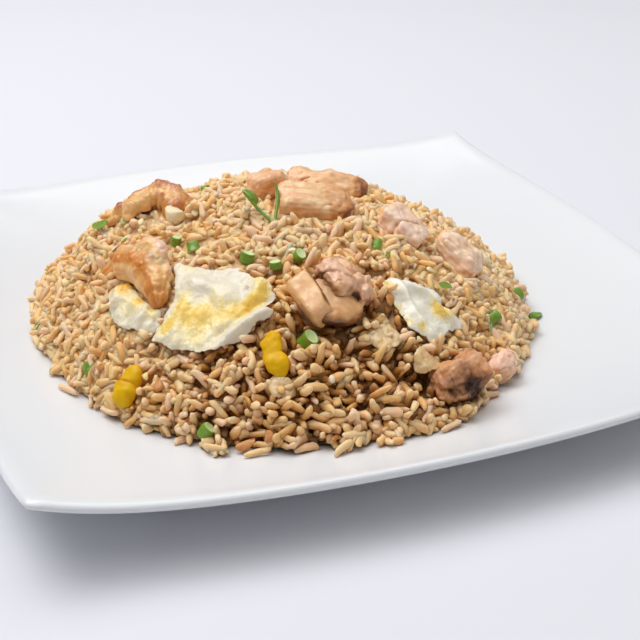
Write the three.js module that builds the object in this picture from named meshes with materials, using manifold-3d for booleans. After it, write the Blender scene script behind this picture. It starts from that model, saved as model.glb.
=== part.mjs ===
// Fried rice heaped on a square coupe plate. Millimetres, +Z up.
// The origin is the middle of the plate's foot, on the table; the plate's sides lie along X and Y.
import * as THREE from 'three';
import { ConvexHull } from 'three/addons/math/ConvexHull.js';
import { mergeVertices } from 'three/addons/utils/BufferGeometryUtils.js';
import Module from 'manifold-3d';

const wasm = await Module();
wasm.setup();

// ---------------------------------------------------------------- sizes

const gap = 0.35; // air left between pieces that touch

const plate = {
  halfChord: 115, // middle of the plate to the line between two neighbouring corners
  sideBulge: 12, // how far a side bows out past that line
  lipHeight: 20, // top of the lip at the middle of a side
  cornerRise: 5.5, // how much higher a corner stands
  wellHeight: 7.5, // top of the flat middle
  flatShare: 0.42, // share of the reach that is flat
  curvePower: 2.2, // how late the rim sweeps up
  middleThickness: 4.7,
  lipThickness: 3,
  footShare: 0.62, // where the foot ring stands
  footWidth: 5,
  footRecess: 2.8, // height of the underside inside the foot ring
  segments: 56,
};

const heap = {
  x: -13, y: -11, // middle of the heap on the plate
  radius: 91,
  oval: -2, // narrower along X, longer along Y
  baseHeight: 7.5,
  height: 48.5,
  crown: 1.9, // power that flattens the top
  flank: 0.8, // power that steepens the foot
  rimPoints: 60,
  grainsTo: 0.985, // share of the reach out to which grains lie
  skirtHeight: 1, // the skin's closing face, below the plate's own
};

// How the foot of the heap wanders in and out: waves round it, size, turn in radians.
const footWaves = [
  { count: 3, size: 2.6, turn: 0.52 },
  { count: 5, size: 0.9, turn: 2.1 },
  { count: 9, size: 0.8, turn: 0.3 },
];

// Soft humps and hollows on the dome.
const humps = [
  { x: -66, y: 12, rise: 7, width: 22 },
  { x: -36, y: 18, rise: -3, width: 11 },
  { x: 26, y: 4, rise: -2, width: 22 },
  { x: -20, y: -72, rise: 1.5, width: 20 },
];

const grain = {
  length: 8.2,
  width: 2.7,
  relief: 1.5, // how far a grain's back stands out of the heap
  valley: -0.6, // how deep the skin lies between two grains
  spacing: 6.3, // least distance between two grains' middles
  clearance: 3.3, // grains closer than this to a topping lie flat under it
  tries: 24000,
};

const colours = {
  porcelain: 0xf1f2f3, rice: 0xcfa577, eggWhite: 0xf2ecdc, yolk: 0xe8b426,
  chicken: 0xc98f68, brownedChicken: 0x8a5a44, prawn: 0xdc9163, onion: 0xd9b98e, chive: 0x4f7f2a,
};

// ---------------------------------------------------------------- helpers

// A repeatable random draw, 0 to 1.
function makeRandom(seed) {
  let state = seed;
  return () => {
    state = (state * 1664525 + 1013904223) % 4294967296;
    return state / 4294967296;
  };
}

// A closed geometry with shared vertices and no triangle of zero size.
function closed(geometry) {
  const bare = geometry.index ? geometry.clone() : mergeVertices(geometry);
  for (const name of ['normal', 'uv']) bare.deleteAttribute(name);
  const merged = mergeVertices(bare, 1e-4);
  const kept = [];
  const index = merged.index.array;
  for (let i = 0; i < index.length; i += 3) {
    const [a, b, c] = [index[i], index[i + 1], index[i + 2]];
    if (a !== b && b !== c && c !== a) kept.push(a, b, c);
  }
  merged.setIndex(kept);
  return merged;
}

function solidOf(geometry) {
  const merged = closed(geometry);
  return new wasm.Manifold(new wasm.Mesh({
    numProp: 3,
    vertProperties: new Float32Array(merged.attributes.position.array),
    triVerts: new Uint32Array(merged.index.array),
  }));
}

function geometryOf(solid) {
  const { vertProperties, triVerts } = solid.getMesh();
  const geometry = new THREE.BufferGeometry();
  geometry.setAttribute('position', new THREE.BufferAttribute(vertProperties, 3));
  geometry.setIndex(new THREE.BufferAttribute(triVerts, 1));
  geometry.computeVertexNormals();
  return geometry;
}

// The largest body of a solid; loose scraps are dropped.
function largestBody(solid) {
  return solid.decompose().sort((a, b) => b.volume() - a.volume())[0];
}

// Moves every vertex with a function of its place.
function warp(geometry, move) {
  const place = geometry.attributes.position;
  const point = new THREE.Vector3();
  for (let i = 0; i < place.count; i += 1) {
    point.fromBufferAttribute(place, i);
    move(point);
    place.setXYZ(i, point.x, point.y, point.z);
  }
  place.needsUpdate = true;
  return geometry;
}

// The same piece swollen all over, for cutting its nest with air round it.
function swollen(geometry, by = gap) {
  const merged = closed(geometry);
  merged.computeVertexNormals();
  const { position, normal } = merged.attributes;
  for (let i = 0; i < position.count; i += 1) {
    position.setXYZ(i, position.getX(i) + by * normal.getX(i),
      position.getY(i) + by * normal.getY(i), position.getZ(i) + by * normal.getZ(i));
  }
  return solidOf(merged);
}

const degrees = (angle) => THREE.MathUtils.degToRad(angle);

// ---------------------------------------------------------------- plate

// The plate's reach in one direction, and how far along the side that is (0 middle, 1 corner).
function plateReach(angle) {
  const quarter = Math.PI / 2;
  const turn = angle - quarter * Math.round(angle / quarter);
  const slope = Math.tan(turn);
  const { halfChord: chord, sideBulge: bulge } = plate;
  const full = chord + bulge;
  const along = (2 * full * slope) / (chord + Math.sqrt(chord ** 2 + 4 * bulge * full * slope ** 2));
  return { reach: (chord * along) / (slope || 1) / Math.cos(turn) || full, along: Math.abs(along) };
}

function plateTop(share) {
  const climb = Math.max(0, (share - plate.flatShare) / (1 - plate.flatShare));
  return plate.wellHeight + (plate.lipHeight - plate.wellHeight) * climb ** plate.curvePower;
}

// Turns a round dish into the square one: corners pulled out, and lifted outside the foot.
function square(point) {
  const round = plate.halfChord + plate.sideBulge;
  const footEdge = (plate.footShare + plate.footWidth / 2 / round) ** 5;
  const share = Math.hypot(point.x, point.y) / round;
  if (share < 1e-6) return;
  const { reach, along } = plateReach(Math.atan2(point.y, point.x));
  const stretch = (round + (reach - round) * share ** 2) / round;
  point.x *= stretch;
  point.y *= stretch;
  point.z += plate.cornerRise * along ** 6 * Math.max(0, (share ** 5 - footEdge) / (1 - footEdge));
}

function squareDish(profile) {
  const dish = new THREE.LatheGeometry(profile, plate.segments);
  dish.rotateX(Math.PI / 2);
  return warp(dish, square);
}

const topShares = [plate.flatShare, 0.57, 0.7, 0.81, 0.9, 0.96];

function plateGeometry() {
  const round = plate.halfChord + plate.sideBulge;
  const at = (share, height) => new THREE.Vector2(share * round, height);
  const thickness = (share) => THREE.MathUtils.lerp(plate.middleThickness, plate.lipThickness, share);
  const under = (share) => at(share, plateTop(share) - thickness(share));
  const half = plate.lipThickness / 2;
  const foot = plate.footShare * round;
  const profile = [
    at(0, plate.wellHeight),
    ...topShares.map((share) => at(share, plateTop(share))),
    new THREE.Vector2(round - 0.6 * half, plate.lipHeight),
    new THREE.Vector2(round, plate.lipHeight - half),
    new THREE.Vector2(round - half, plate.lipHeight - plate.lipThickness),
    ...[0.84, 0.68].map(under),
    new THREE.Vector2(foot + plate.footWidth / 2, 0),
    new THREE.Vector2(foot - plate.footWidth / 2, 0),
    new THREE.Vector2(foot - plate.footWidth, plate.footRecess),
    at(0, plate.footRecess),
  ];
  return squareDish(profile.reverse());
}

// Everything under the food: the plate's upper face, raised by the gap, and solid below it.
function plateBed() {
  const round = plate.halfChord + plate.sideBulge;
  const profile = [new THREE.Vector2(0, plate.wellHeight + gap)];
  for (const share of topShares.filter((_, row) => row % 2 === 0)) {
    profile.push(new THREE.Vector2(share * round, plateTop(share) + gap));
  }
  const last = profile[profile.length - 1];
  profile.push(new THREE.Vector2(last.x, -20), new THREE.Vector2(0, -20));
  return solidOf(squareDish(profile.reverse()));
}

// ---------------------------------------------------------------- the bare heap

function heapReach(angle) {
  let reach = heap.radius + heap.oval * Math.cos(2 * angle);
  for (const wave of footWaves) reach += wave.size * Math.sin(wave.count * angle + wave.turn);
  return reach;
}

// Where a point of the plate lies in the heap: its direction and its share of the reach.
function inHeap(x, y) {
  const angle = Math.atan2(y - heap.y, x - heap.x);
  return { angle, share: Math.hypot(x - heap.x, y - heap.y) / heapReach(angle) };
}

function heapHeight(x, y) {
  const { share } = inHeap(x, y);
  const dome = Math.max(0, 1 - Math.min(share, 1) ** heap.crown) ** heap.flank;
  let height = heap.baseHeight + heap.height * dome;
  for (const hump of humps) {
    const distance = Math.hypot(x - hump.x, y - hump.y) / hump.width;
    height += hump.rise * Math.exp(-(distance ** 2)) * Math.min(1, dome * 4);
  }
  return height;
}

function heapNormal(x, y) {
  const step = 1;
  const slopeX = (heapHeight(x + step, y) - heapHeight(x - step, y)) / (2 * step);
  const slopeY = (heapHeight(x, y + step) - heapHeight(x, y - step)) / (2 * step);
  return new THREE.Vector3(-slopeX, -slopeY, 1).normalize();
}

function heapPoint(x, y, lift = 0) {
  return new THREE.Vector3(x, y, heapHeight(x, y)).addScaledVector(heapNormal(x, y), lift);
}

// A frame on the heap: X along the heading, Z out of the heap.
function heapFrame({ x, y, heading = 0, lift = 0, pitch = 0, roll = 0 }) {
  const out = heapNormal(x, y);
  const turn = degrees(heading);
  const ahead = new THREE.Vector3(Math.cos(turn), Math.sin(turn), 0);
  ahead.addScaledVector(out, -ahead.dot(out)).normalize();
  const side = new THREE.Vector3().crossVectors(out, ahead);
  const frame = new THREE.Matrix4().makeBasis(ahead, side, out);
  frame.setPosition(heapPoint(x, y, lift));
  const tilt = new THREE.Euler(degrees(roll), degrees(-pitch), 0);
  return frame.multiply(new THREE.Matrix4().makeRotationFromEuler(tilt));
}

// ---------------------------------------------------------------- shapes of food

// A diced piece: a box with worn edges, narrower at one end, with a few soft lumps.
function diced({ length, width, height, edge = 3.2, taper = 0, lumps = 0.5, seed = 1, cells = [5, 4, 3] }) {
  const random = makeRandom(seed);
  const waves = [0, 1, 2].map(() => ({
    x: 2 + 3 * random(), y: 2 + 3 * random(), z: 2 + 3 * random(), turn: 6 * random(),
  }));
  const box = new THREE.BoxGeometry(2, 2, 2, ...cells);
  return warp(box, (point) => {
    const size = (Math.abs(point.x) ** edge + Math.abs(point.y) ** edge + Math.abs(point.z) ** edge);
    point.multiplyScalar(size ** (-1 / edge));
    let swell = 0;
    for (const wave of waves) {
      swell += Math.sin(wave.x * point.x + wave.turn) * Math.sin(wave.y * point.y + wave.z * point.z);
    }
    const narrow = 1 - taper * point.x;
    const grown = (half) => half + (lumps * swell) / 1.5;
    point.set(point.x * grown(length / 2), point.y * grown((width / 2) * narrow),
      point.z * grown((height / 2) * narrow));
  });
}

// A thick wavy sheet laid over the heap. The outline is in millimetres from its middle.
function draped({ x, y, outline, thickness, lift, waves = 0, folds = [], around = 26, rings = 6 }) {
  const edge = new THREE.CatmullRomCurve3(outline.map(([u, v]) => new THREE.Vector3(u, v, 0)), true);
  const cushion = new THREE.SphereGeometry(1, around, rings);
  return warp(cushion, (point) => {
    const turn = (Math.atan2(point.z, -point.x) / (2 * Math.PI) + 1) % 1;
    const share = Math.min(1, Math.hypot(point.x, point.z)) ** 0.7;
    const half = (thickness / 2) * Math.sign(point.y) * Math.abs(point.y) ** 0.5;
    const place = edge.getPoint(turn).multiplyScalar(share < 1e-5 ? 0 : share);
    let rise = lift + waves * Math.sin(place.x * 0.45 + 1) * Math.sin(place.y * 0.55);
    for (const fold of folds) {
      const across = (place.x - fold.u) * Math.sin(degrees(fold.heading))
        - (place.y - fold.v) * Math.cos(degrees(fold.heading));
      rise += fold.rise * Math.exp(-((across / fold.width) ** 2));
    }
    point.copy(heapPoint(x + place.x, y + place.y, rise + thickness / 2 + half));
  });
}

// A tube of changing thickness along a smooth path, closed at both ends.
function swept({ path, radius, around = 8, steps = 10, flat = 1 }) {
  const curve = new THREE.CatmullRomCurve3(path.map((place) => new THREE.Vector3(...place)));
  const tube = new THREE.CylinderGeometry(1, 1, 1, around, steps);
  return warp(tube, (point) => {
    const share = THREE.MathUtils.clamp(point.y + 0.5, 0, 1);
    const along = curve.getTangent(share);
    const side = new THREE.Vector3(0, 0, 1).cross(along).normalize();
    const up = new THREE.Vector3().crossVectors(along, side);
    const thick = radius(share);
    point.copy(curve.getPoint(share)
      .addScaledVector(side, point.z * thick)
      .addScaledVector(up, point.x * thick * flat));
  });
}

function onHeap(geometry, site) {
  return geometry.applyMatrix4(heapFrame(site));
}

// ---------------------------------------------------------------- toppings

// Kept in the order in which they lie, the uppermost first: each presses into those after it.
const toppings = [];

function topping(name, colour, roughness, ...parts) {
  toppings.push({ name, colour, roughness, parts });
}

// Two chive stems that meet in a V, and the torn leaf at the tip of one.
const chiveRadius = (s) => (s <= 0 || s >= 1 ? 0.45 : 0.75);
topping('chive', colours.chive, 0.4,
  swept({ path: [[-21.5, -31, 55], [-25.5, -26, 58.5], [-29, -20, 63.5]], radius: chiveRadius, steps: 4,
    around: 5 }),
  swept({ path: [[-21.8, -31.4, 54.8], [-19.8, -26, 60], [-18, -21, 65.5]], radius: chiveRadius, steps: 4,
    around: 5 }),
  swept({ path: [[-28.4, -20.4, 63], [-26.6, -20.6, 61], [-25.4, -21.6, 58.6]], steps: 4, around: 5,
    radius: (s) => 0.5 + 1.3 * Math.sin(Math.PI * s), flat: 0.5 }));

// Prawns, curled, with ringed backs and thin tails.
const prawnRadius = (thick, tail) => (s) => {
  const rings = 1 + 0.07 * Math.cos(s * Math.PI * 10);
  return rings * THREE.MathUtils.lerp(tail, thick, Math.sin(Math.min(1, s * 1.25) * Math.PI * 0.5))
    * (s > 0.85 ? Math.sqrt(Math.max(0.15, 1 - ((s - 0.85) / 0.17) ** 2)) : 1);
};
topping('prawn_front', colours.prawn, 0.35,
  onHeap(swept({
    path: [[-20, -4, -1], [-16, 2.5, 1], [-7, 4.5, 2.6], [4, 3, 3], [11, -3, 2], [14, -9, 0]],
    radius: prawnRadius(6.6, 1.9), steps: 12, around: 8,
  }), { x: -64, y: -26.5, heading: -52, lift: 0.8 }));
topping('prawn_rear', colours.prawn, 0.35,
  onHeap(swept({
    path: [[-16, -2, -1], [-10, 1, 0], [-3, 4, 1], [4, 3, 1.5], [8, -3, 1], [6, -9, -1]],
    radius: prawnRadius(6, 1.6), steps: 12, around: 8,
  }), { x: -54, y: 6, heading: -15, lift: 0 }));

// Chicken, diced and fried.
topping('chicken_top', colours.chicken, 0.5,
  onHeap(diced({ length: 25, width: 17, height: 15, edge: 3.4, taper: 0.1, lumps: 0.7, seed: 3 }),
    { x: -5, y: -22, heading: -14, lift: 0.6, roll: 10 }));
topping('chicken_top_rear', colours.chicken, 0.5,
  onHeap(diced({ length: 29, width: 15, height: 13, edge: 3.6, taper: 0.14, lumps: 0.9, seed: 11 }),
    { x: 8, y: -1, heading: -20, lift: 0, pitch: 3 }));
topping('chicken_top_left', colours.chicken, 0.5,
  onHeap(diced({ length: 15, width: 13, height: 13, edge: 3, lumps: 0.8, seed: 5, cells: [4, 3, 3] }),
    { x: -17, y: -5, heading: 30, lift: 0.4 }));
topping('chicken_centre', colours.chicken, 0.45,
  onHeap(diced({
    length: 20, width: 15, height: 13, edge: 4, taper: 0.08, lumps: 0.5, seed: 8, cells: [4, 3, 3],
  }), { x: -16, y: -67, heading: -72, lift: 3.2, pitch: -4 }),
  onHeap(diced({ length: 15, width: 9, height: 12, edge: 3.6, lumps: 0.5, seed: 21, cells: [3, 2, 2] }),
    { x: -9, y: -60, heading: -66, lift: 3.4 }),
  onHeap(diced({ length: 10, width: 9, height: 9, edge: 2.4, lumps: 0.9, seed: 4, cells: [3, 2, 2] }),
    { x: -5.5, y: -66, heading: 20, lift: 2.6 }));
topping('chicken_right_upper', colours.chicken, 0.5,
  onHeap(diced({ length: 18, width: 12, height: 10, edge: 3.2, taper: 0.15, lumps: 0.8, seed: 14 }),
    { x: 23, y: -34, heading: -50, lift: 1.8 }));
topping('chicken_right_lower', colours.chicken, 0.5,
  onHeap(diced({ length: 19, width: 13, height: 10, edge: 3.2, taper: -0.1, lumps: 0.9, seed: 17 }),
    { x: 41, y: -39, heading: -45, lift: 1.6 }));
topping('chicken_front', colours.brownedChicken, 0.5,
  onHeap(diced({ length: 20, width: 13, height: 13, edge: 2.6, lumps: 1, seed: 9 }),
    { x: 18, y: -89, heading: 25, lift: 2.4 }));
topping('chicken_front_end', colours.chicken, 0.5,
  onHeap(diced({ length: 11, width: 9, height: 9, edge: 3, lumps: 0.6, seed: 2, cells: [3, 3, 3] }),
    { x: 39.5, y: -77, heading: 60, lift: 2.2 }));

// Fried egg, torn into sheets.
topping('egg_large', colours.eggWhite, 0.35, draped({
  x: -49, y: -54.5, thickness: 2.6, lift: 1.2, waves: 0.6, around: 26, rings: 7,
  outline: [[20, -3], [15, 3], [5, 11], [-5, 22], [-10, 12], [-19, 3], [-17, -5], [-6, -13],
    [4, -14], [13, -11]],
  folds: [{ u: 3, v: -11, heading: 10, rise: 1.8, width: 2.6 },
    { u: -2, v: 4, heading: 20, rise: 0.9, width: 4 }],
}));
topping('egg_right', colours.eggWhite, 0.35, draped({
  x: 15.5, y: -70, thickness: 2.6, lift: 1.3, waves: 0.7, around: 22, rings: 6,
  outline: [[13, 1], [7, 9], [-2, 12], [-10, 11], [-13, 5], [-10, -4], [-3, -10], [7, -7]],
  folds: [{ u: -6, v: 0, heading: 110, rise: 1.6, width: 2.5 }],
}));
topping('egg_left', colours.eggWhite, 0.4, draped({
  x: -70, y: -36, thickness: 3, lift: 1.3, waves: 0.7, around: 20, rings: 6,
  outline: [[7, -8], [3, 1], [0, 10], [-4, 14], [-6, 6], [-6, -3], [-2, -10], [4, -14]],
}));
topping('egg_scrap_top', colours.eggWhite, 0.4,
  onHeap(diced({ length: 11, width: 6, height: 6, edge: 2.4, lumps: 0.8, seed: 6, cells: [3, 3, 2] }),
    { x: -48.5, y: -6, heading: -75, lift: 1.6 }));
topping('egg_scrap_right', colours.eggWhite, 0.4,
  onHeap(diced({ length: 8, width: 6, height: 5, edge: 2.4, lumps: 0.6, seed: 7, cells: [3, 3, 2] }),
    { x: 55, y: -30, heading: -20, lift: 1.6 }));
topping('yolk_curd_front', colours.yolk, 0.3,
  onHeap(swept({
    path: [[-6.5, 0, 0], [-2, 0.3, 0.3], [2, -0.2, 0.3], [6.5, 0, 0]], steps: 8,
    radius: (s) => (s <= 0 || s >= 1 ? 2.2 : 3.6 + 0.6 * Math.cos(4 * Math.PI * (s - 0.25))), flat: 0.72,
  }), { x: -36.5, y: -78, heading: 80, lift: 1.8 }));
topping('yolk_curd_left', colours.yolk, 0.3,
  onHeap(swept({
    path: [[-5.5, -1.5, 0], [-2, 0.6, 0.2], [2, 0.5, 0.2], [5.5, -1, 0]], steps: 6,
    radius: (s) => (s <= 0 || s >= 1 ? 1.6 : 3.1 + 0.9 * Math.sin(3 * s + 0.4)), flat: 0.8,
  }), { x: -77, y: -60, heading: 38, lift: 1.4 }));

// Softened onion, in curved petals.
const onionSites = [
  { name: 'onion_front', x: -2, y: -81, heading: 20, seed: 31 },
  { name: 'onion_low', x: -37, y: -86, heading: -30, seed: 32 },
  { name: 'onion_right', x: 7, y: -88, heading: 60, seed: 33 },
];
for (const { name, seed, ...site } of onionSites) {
  topping(name, colours.onion, 0.35,
    onHeap(diced({ length: 10, width: 7, height: 3.4, edge: 2.8, lumps: 0.6, seed, cells: [3, 3, 2] }),
      { ...site, lift: 1.3 }));
}

// ---------------------------------------------------------------- rice

// Spring-onion slices that lie in the rice: place, heading, length, width.
const springOnions = [
  [-64, 4, 20, 7, 5], [-33, 13, 60, 6, 4], [-52, -19, 10, 6, 5], [-48, -27, 70, 6, 5],
  [-34, -42, 30, 6, 6], [-27, -49, 80, 6, 5], [-19, -48, -20, 7, 5], [-26, -77, 15, 7, 7],
  [-60, -84, 20, 6, 5], [-97, 0, 80, 5, 4], [-87, -42, 45, 5, 3], [9, -44, 60, 6, 4],
  [45, -60, 30, 5, 5], [66, -38, 10, 6, 5], [70, -42, 70, 6, 4],
];

function springOnionSolids() {
  return springOnions.map(([x, y, heading, length, width]) => {
    const slice = new THREE.CylinderGeometry(width / 2, width / 2.4, length, 6);
    slice.rotateZ(Math.PI / 2);
    return solidOf(onHeap(slice, { x, y, heading, lift: width * 0.32 }));
  });
}

// Does this place touch a topping? It does within a short way of one of the topping's corners.
function coverTest(solids) {
  const corners = [];
  for (const solid of solids) {
    const { vertProperties } = solid.getMesh();
    for (let i = 0; i < vertProperties.length; i += 3) {
      corners.push(new THREE.Vector3(...vertProperties.slice(i, i + 3)));
    }
  }
  return (place) => corners.some((corner) => corner.distanceTo(place) < grain.clearance);
}

// Spots for grains, no two closer than the spacing.
function grainSeeds() {
  const random = makeRandom(20);
  const seeds = [];
  for (let i = 0; i < grain.tries; i += 1) {
    const angle = 2 * Math.PI * random();
    const share = Math.sin(0.5 * Math.PI * Math.sqrt(random()));
    const reach = heapReach(angle) * Math.min(share, heap.grainsTo);
    const place = heapPoint(heap.x + reach * Math.cos(angle), heap.y + reach * Math.sin(angle));
    if (seeds.every((seed) => seed.place.distanceTo(place) > grain.spacing)) {
      seeds.push({ place, heading: 360 * random(), relief: grain.relief * (0.6 + 0.7 * random()) });
    }
  }
  return seeds;
}

// Corners of the rice surface: three along each grain's back, two in the valleys beside it.
function surfacePoints(covered) {
  const points = [];
  const add = (spot, lift, apart) => {
    if (inHeap(spot.x, spot.y).share > heap.grainsTo) return;
    const bare = heapPoint(spot.x, spot.y);
    const place = heapPoint(spot.x, spot.y, covered(bare) ? grain.valley : lift);
    if (points.some((other) => other.place.distanceTo(place) < apart)) return;
    points.push({ place, flat: openedFlat(spot) });
  };
  const seeds = grainSeeds();
  for (const { place, heading, relief } of seeds) {
    const frame = heapFrame({ x: place.x, y: place.y, heading });
    for (const [share, rise] of [[0, 1], [-0.32, 0.55], [0.32, 0.55]]) {
      add(new THREE.Vector3(share * grain.length, 0, 0).applyMatrix4(frame), relief * rise, 1.7);
    }
  }
  for (const { place, heading } of seeds) {
    const frame = heapFrame({ x: place.x, y: place.y, heading });
    for (const side of [-0.8, 0.8]) {
      add(new THREE.Vector3(0, side * grain.width, 0).applyMatrix4(frame), grain.valley, grain.width);
    }
  }
  return points;
}

// The dome opened flat, so that its steep foot gets as many triangles as its crown.
function openedFlat({ x, y }) {
  const { angle, share } = inHeap(x, y);
  const spread = heap.radius * Math.asin(Math.min(1, share));
  return [spread * Math.cos(angle), spread * Math.sin(angle)];
}

// Triangles between points, each as round as can be: the underside of a hull over a paraboloid.
// A point high over the middle keeps the rim's points from lying on one flat face.
function triangulate(flatPoints) {
  const lifted = flatPoints.map(([u, v], index) => {
    const point = new THREE.Vector3(u, v, (u * u + v * v) / 100);
    point.index = index;
    return point;
  });
  lifted.push(new THREE.Vector3(0, 0, 10 * heap.radius));
  const triangles = [];
  for (const face of new ConvexHull().setFromPoints(lifted).faces) {
    if (face.normal.z >= -1e-6) continue;
    const corners = [];
    let edge = face.edge;
    do {
      corners.push(edge.head().point.index);
      edge = edge.next;
    } while (edge !== face.edge);
    triangles.push(...corners.reverse());
  }
  return triangles;
}

// The heap as one skin of grain-size bumps, closed by a skirt and a base below the plate's face.
function bumpyHeap(covered) {
  const surface = surfacePoints(covered);
  const rimStart = surface.length;
  for (let i = 0; i < heap.rimPoints; i += 1) {
    const angle = (2 * Math.PI * i) / heap.rimPoints;
    const reach = heapReach(angle);
    const place = new THREE.Vector3(heap.x + reach * Math.cos(angle), heap.y + reach * Math.sin(angle),
      heap.baseHeight);
    surface.push({ place, flat: openedFlat(place) });
  }
  const triangles = triangulate(surface.map(({ flat }) => flat));
  const points = surface.map(({ place }) => place);
  const skirtStart = points.length;
  for (let i = 0; i < heap.rimPoints; i += 1) {
    points.push(points[rimStart + i].clone().setZ(heap.skirtHeight));
  }
  points.push(new THREE.Vector3(heap.x, heap.y, heap.skirtHeight));
  for (let i = 0; i < heap.rimPoints; i += 1) {
    const next = (i + 1) % heap.rimPoints;
    triangles.push(rimStart + i, skirtStart + i, skirtStart + next);
    triangles.push(rimStart + i, skirtStart + next, rimStart + next);
    triangles.push(skirtStart + next, skirtStart + i, points.length - 1);
  }
  const skin = new THREE.BufferGeometry().setFromPoints(points);
  skin.setIndex(triangles);
  return solidOf(skin);
}

// ---------------------------------------------------------------- assembly

const part = new THREE.Group();

function addMesh(name, geometry, colour, roughness, metalness = 0) {
  const material = new THREE.MeshStandardMaterial({ color: colour, roughness, metalness });
  const item = new THREE.Mesh(geometry, material);
  item.name = name;
  part.add(item);
}

function pressTogether(bed) {
  const nests = [];
  const solids = [];
  for (const { parts } of toppings) {
    let solid = wasm.Manifold.union(parts.map(solidOf)).subtract(bed);
    for (const nest of nests) solid = solid.subtract(nest);
    solids.push(largestBody(solid));
    nests.push(wasm.Manifold.union(parts.map((piece) => swollen(piece))));
  }
  return { solids, nests };
}

function build() {
  const bed = plateBed();
  const { solids, nests } = pressTogether(bed);
  let rice = wasm.Manifold.union([bumpyHeap(coverTest(solids)), ...springOnionSolids()]);
  for (const taken of [bed, ...nests]) rice = rice.subtract(taken);
  addMesh('plate', closed(plateGeometry()), colours.porcelain, 0.12);
  addMesh('rice_mound', geometryOf(largestBody(rice)), colours.rice, 0.5);
  toppings.forEach(({ name, colour, roughness }, i) => {
    addMesh(name, geometryOf(solids[i]), colour, roughness);
  });
}

build();

export default part;
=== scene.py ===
import itertools
import math

import bpy
import numpy as np
from mathutils import Matrix, Vector
from mathutils.bvhtree import BVHTree


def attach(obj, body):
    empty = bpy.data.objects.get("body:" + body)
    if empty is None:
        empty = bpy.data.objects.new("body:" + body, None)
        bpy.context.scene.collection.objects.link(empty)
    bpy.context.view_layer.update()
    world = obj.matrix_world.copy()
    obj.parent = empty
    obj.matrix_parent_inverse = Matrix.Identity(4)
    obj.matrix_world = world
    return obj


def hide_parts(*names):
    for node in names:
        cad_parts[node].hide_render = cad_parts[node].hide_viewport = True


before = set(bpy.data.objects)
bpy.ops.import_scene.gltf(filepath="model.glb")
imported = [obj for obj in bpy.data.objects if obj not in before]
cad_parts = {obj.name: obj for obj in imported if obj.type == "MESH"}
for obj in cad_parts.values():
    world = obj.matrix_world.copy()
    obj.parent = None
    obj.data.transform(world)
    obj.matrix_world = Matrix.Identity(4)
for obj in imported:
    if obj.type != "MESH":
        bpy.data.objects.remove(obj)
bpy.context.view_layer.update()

mm = 0.001  # sizes below are in millimetres unless a comment says otherwise
print("frame loaded:", len(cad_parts), "nodes")


def makeActive(obj):
    if bpy.context.object and bpy.context.object.mode != "OBJECT":
        bpy.ops.object.mode_set(mode="OBJECT")
    bpy.ops.object.select_all(action="DESELECT")
    obj.select_set(True)
    bpy.context.view_layer.objects.active = obj


def pointsOf(obj):  # the mesh's places, in millimetres
    places = np.empty(len(obj.data.vertices) * 3)
    obj.data.vertices.foreach_get("co", places)
    return places.reshape(-1, 3) / mm


def movePoints(obj, points):
    obj.data.vertices.foreach_set("co", (points * mm).ravel())
    obj.data.update()


def paint(obj, name, values):  # a number for each point, or one for all, which a material reads
    layer = obj.data.attributes.new(name, "FLOAT", "POINT")
    layer.data.foreach_set("value", np.full(len(obj.data.vertices), values, np.float32))


def settle(obj, name, material, slot, *nodes):  # place into the mesh, material on, onto the body
    makeActive(obj)
    bpy.ops.object.transform_apply(location=True, rotation=True, scale=True)
    bpy.ops.object.shade_smooth()
    obj.name = obj.data.name = name
    obj.data.materials.clear()
    obj.data.materials.append(material)
    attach(obj, "root")
    if nodes:
        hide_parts(*nodes)
    return obj


def lattice(cell, seed):  # a number from -1 to 1 for each whole-number corner of space
    mix = (cell[:, 0] * 73856093) ^ (cell[:, 1] * 19349663) ^ (cell[:, 2] * 83492791) ^ (seed * 2654435)
    mix = (mix ^ (mix >> 13)) * 1274126177 & 0x7FFFFFFF
    return ((mix >> 7) & 0xFFFF) / 32767.5 - 1


def noise(points, size, seed=0):  # smooth bumps of that size, in millimetres, -1 to 1
    spot = points / size
    cell = np.floor(spot).astype(np.int64)
    part = spot - cell
    ease = part * part * (3 - 2 * part)
    total = np.zeros(len(points))
    for corner in itertools.product((0, 1), repeat=3):
        weight = np.prod(np.where(corner, ease, 1 - ease), axis=1)
        total += weight * lattice(cell + np.array(corner), seed)
    return total


def normalsOf(obj):
    normals = np.empty(len(obj.data.vertices) * 3)
    obj.data.vertex_normals.foreach_get("vector", normals)
    return normals.reshape(-1, 3)


def linear(hexColour):  # sRGB hex to the linear colour that shaders take
    parts = [int(hexColour[i:i + 2], 16) / 255 for i in (1, 3, 5)]
    return [c / 12.92 if c <= 0.04045 else ((c + 0.055) / 1.055) ** 2.4 for c in parts] + [1]


def plug(material, socket, value):  # a link, a hex colour or a plain value
    if isinstance(value, bpy.types.NodeSocket):
        material.node_tree.links.new(value, socket)
    else:
        socket.default_value = linear(value) if isinstance(value, str) else value


def addNode(material, kind, output, inputs=None, **settings):  # gives the output that is asked for
    node = material.node_tree.nodes.new(kind)
    for name, value in settings.items():
        setattr(node, name, value)
    for name, value in (inputs or {}).items():
        plug(material, node.inputs[name], value)
    return node.outputs[output]


def newMaterial(name, patches=(), painted=""):  # uneven patches: size in mm, detail, roughness
    material = bpy.data.materials.new(name)
    material.use_nodes = True
    place = addNode(material, "ShaderNodeTexCoord", "Object")
    sockets = []
    for size, detail, roughness in patches:
        sockets.append(addNode(material, "ShaderNodeTexNoise", "Fac", {
            "Vector": place, "Scale": 1 / (size * mm), "Detail": detail, "Roughness": roughness}))
    for layer in painted.split():  # numbers painted on the mesh
        sockets.append(addNode(material, "ShaderNodeAttribute", "Fac", attribute_name=layer))
    return [material] + sockets


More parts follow.
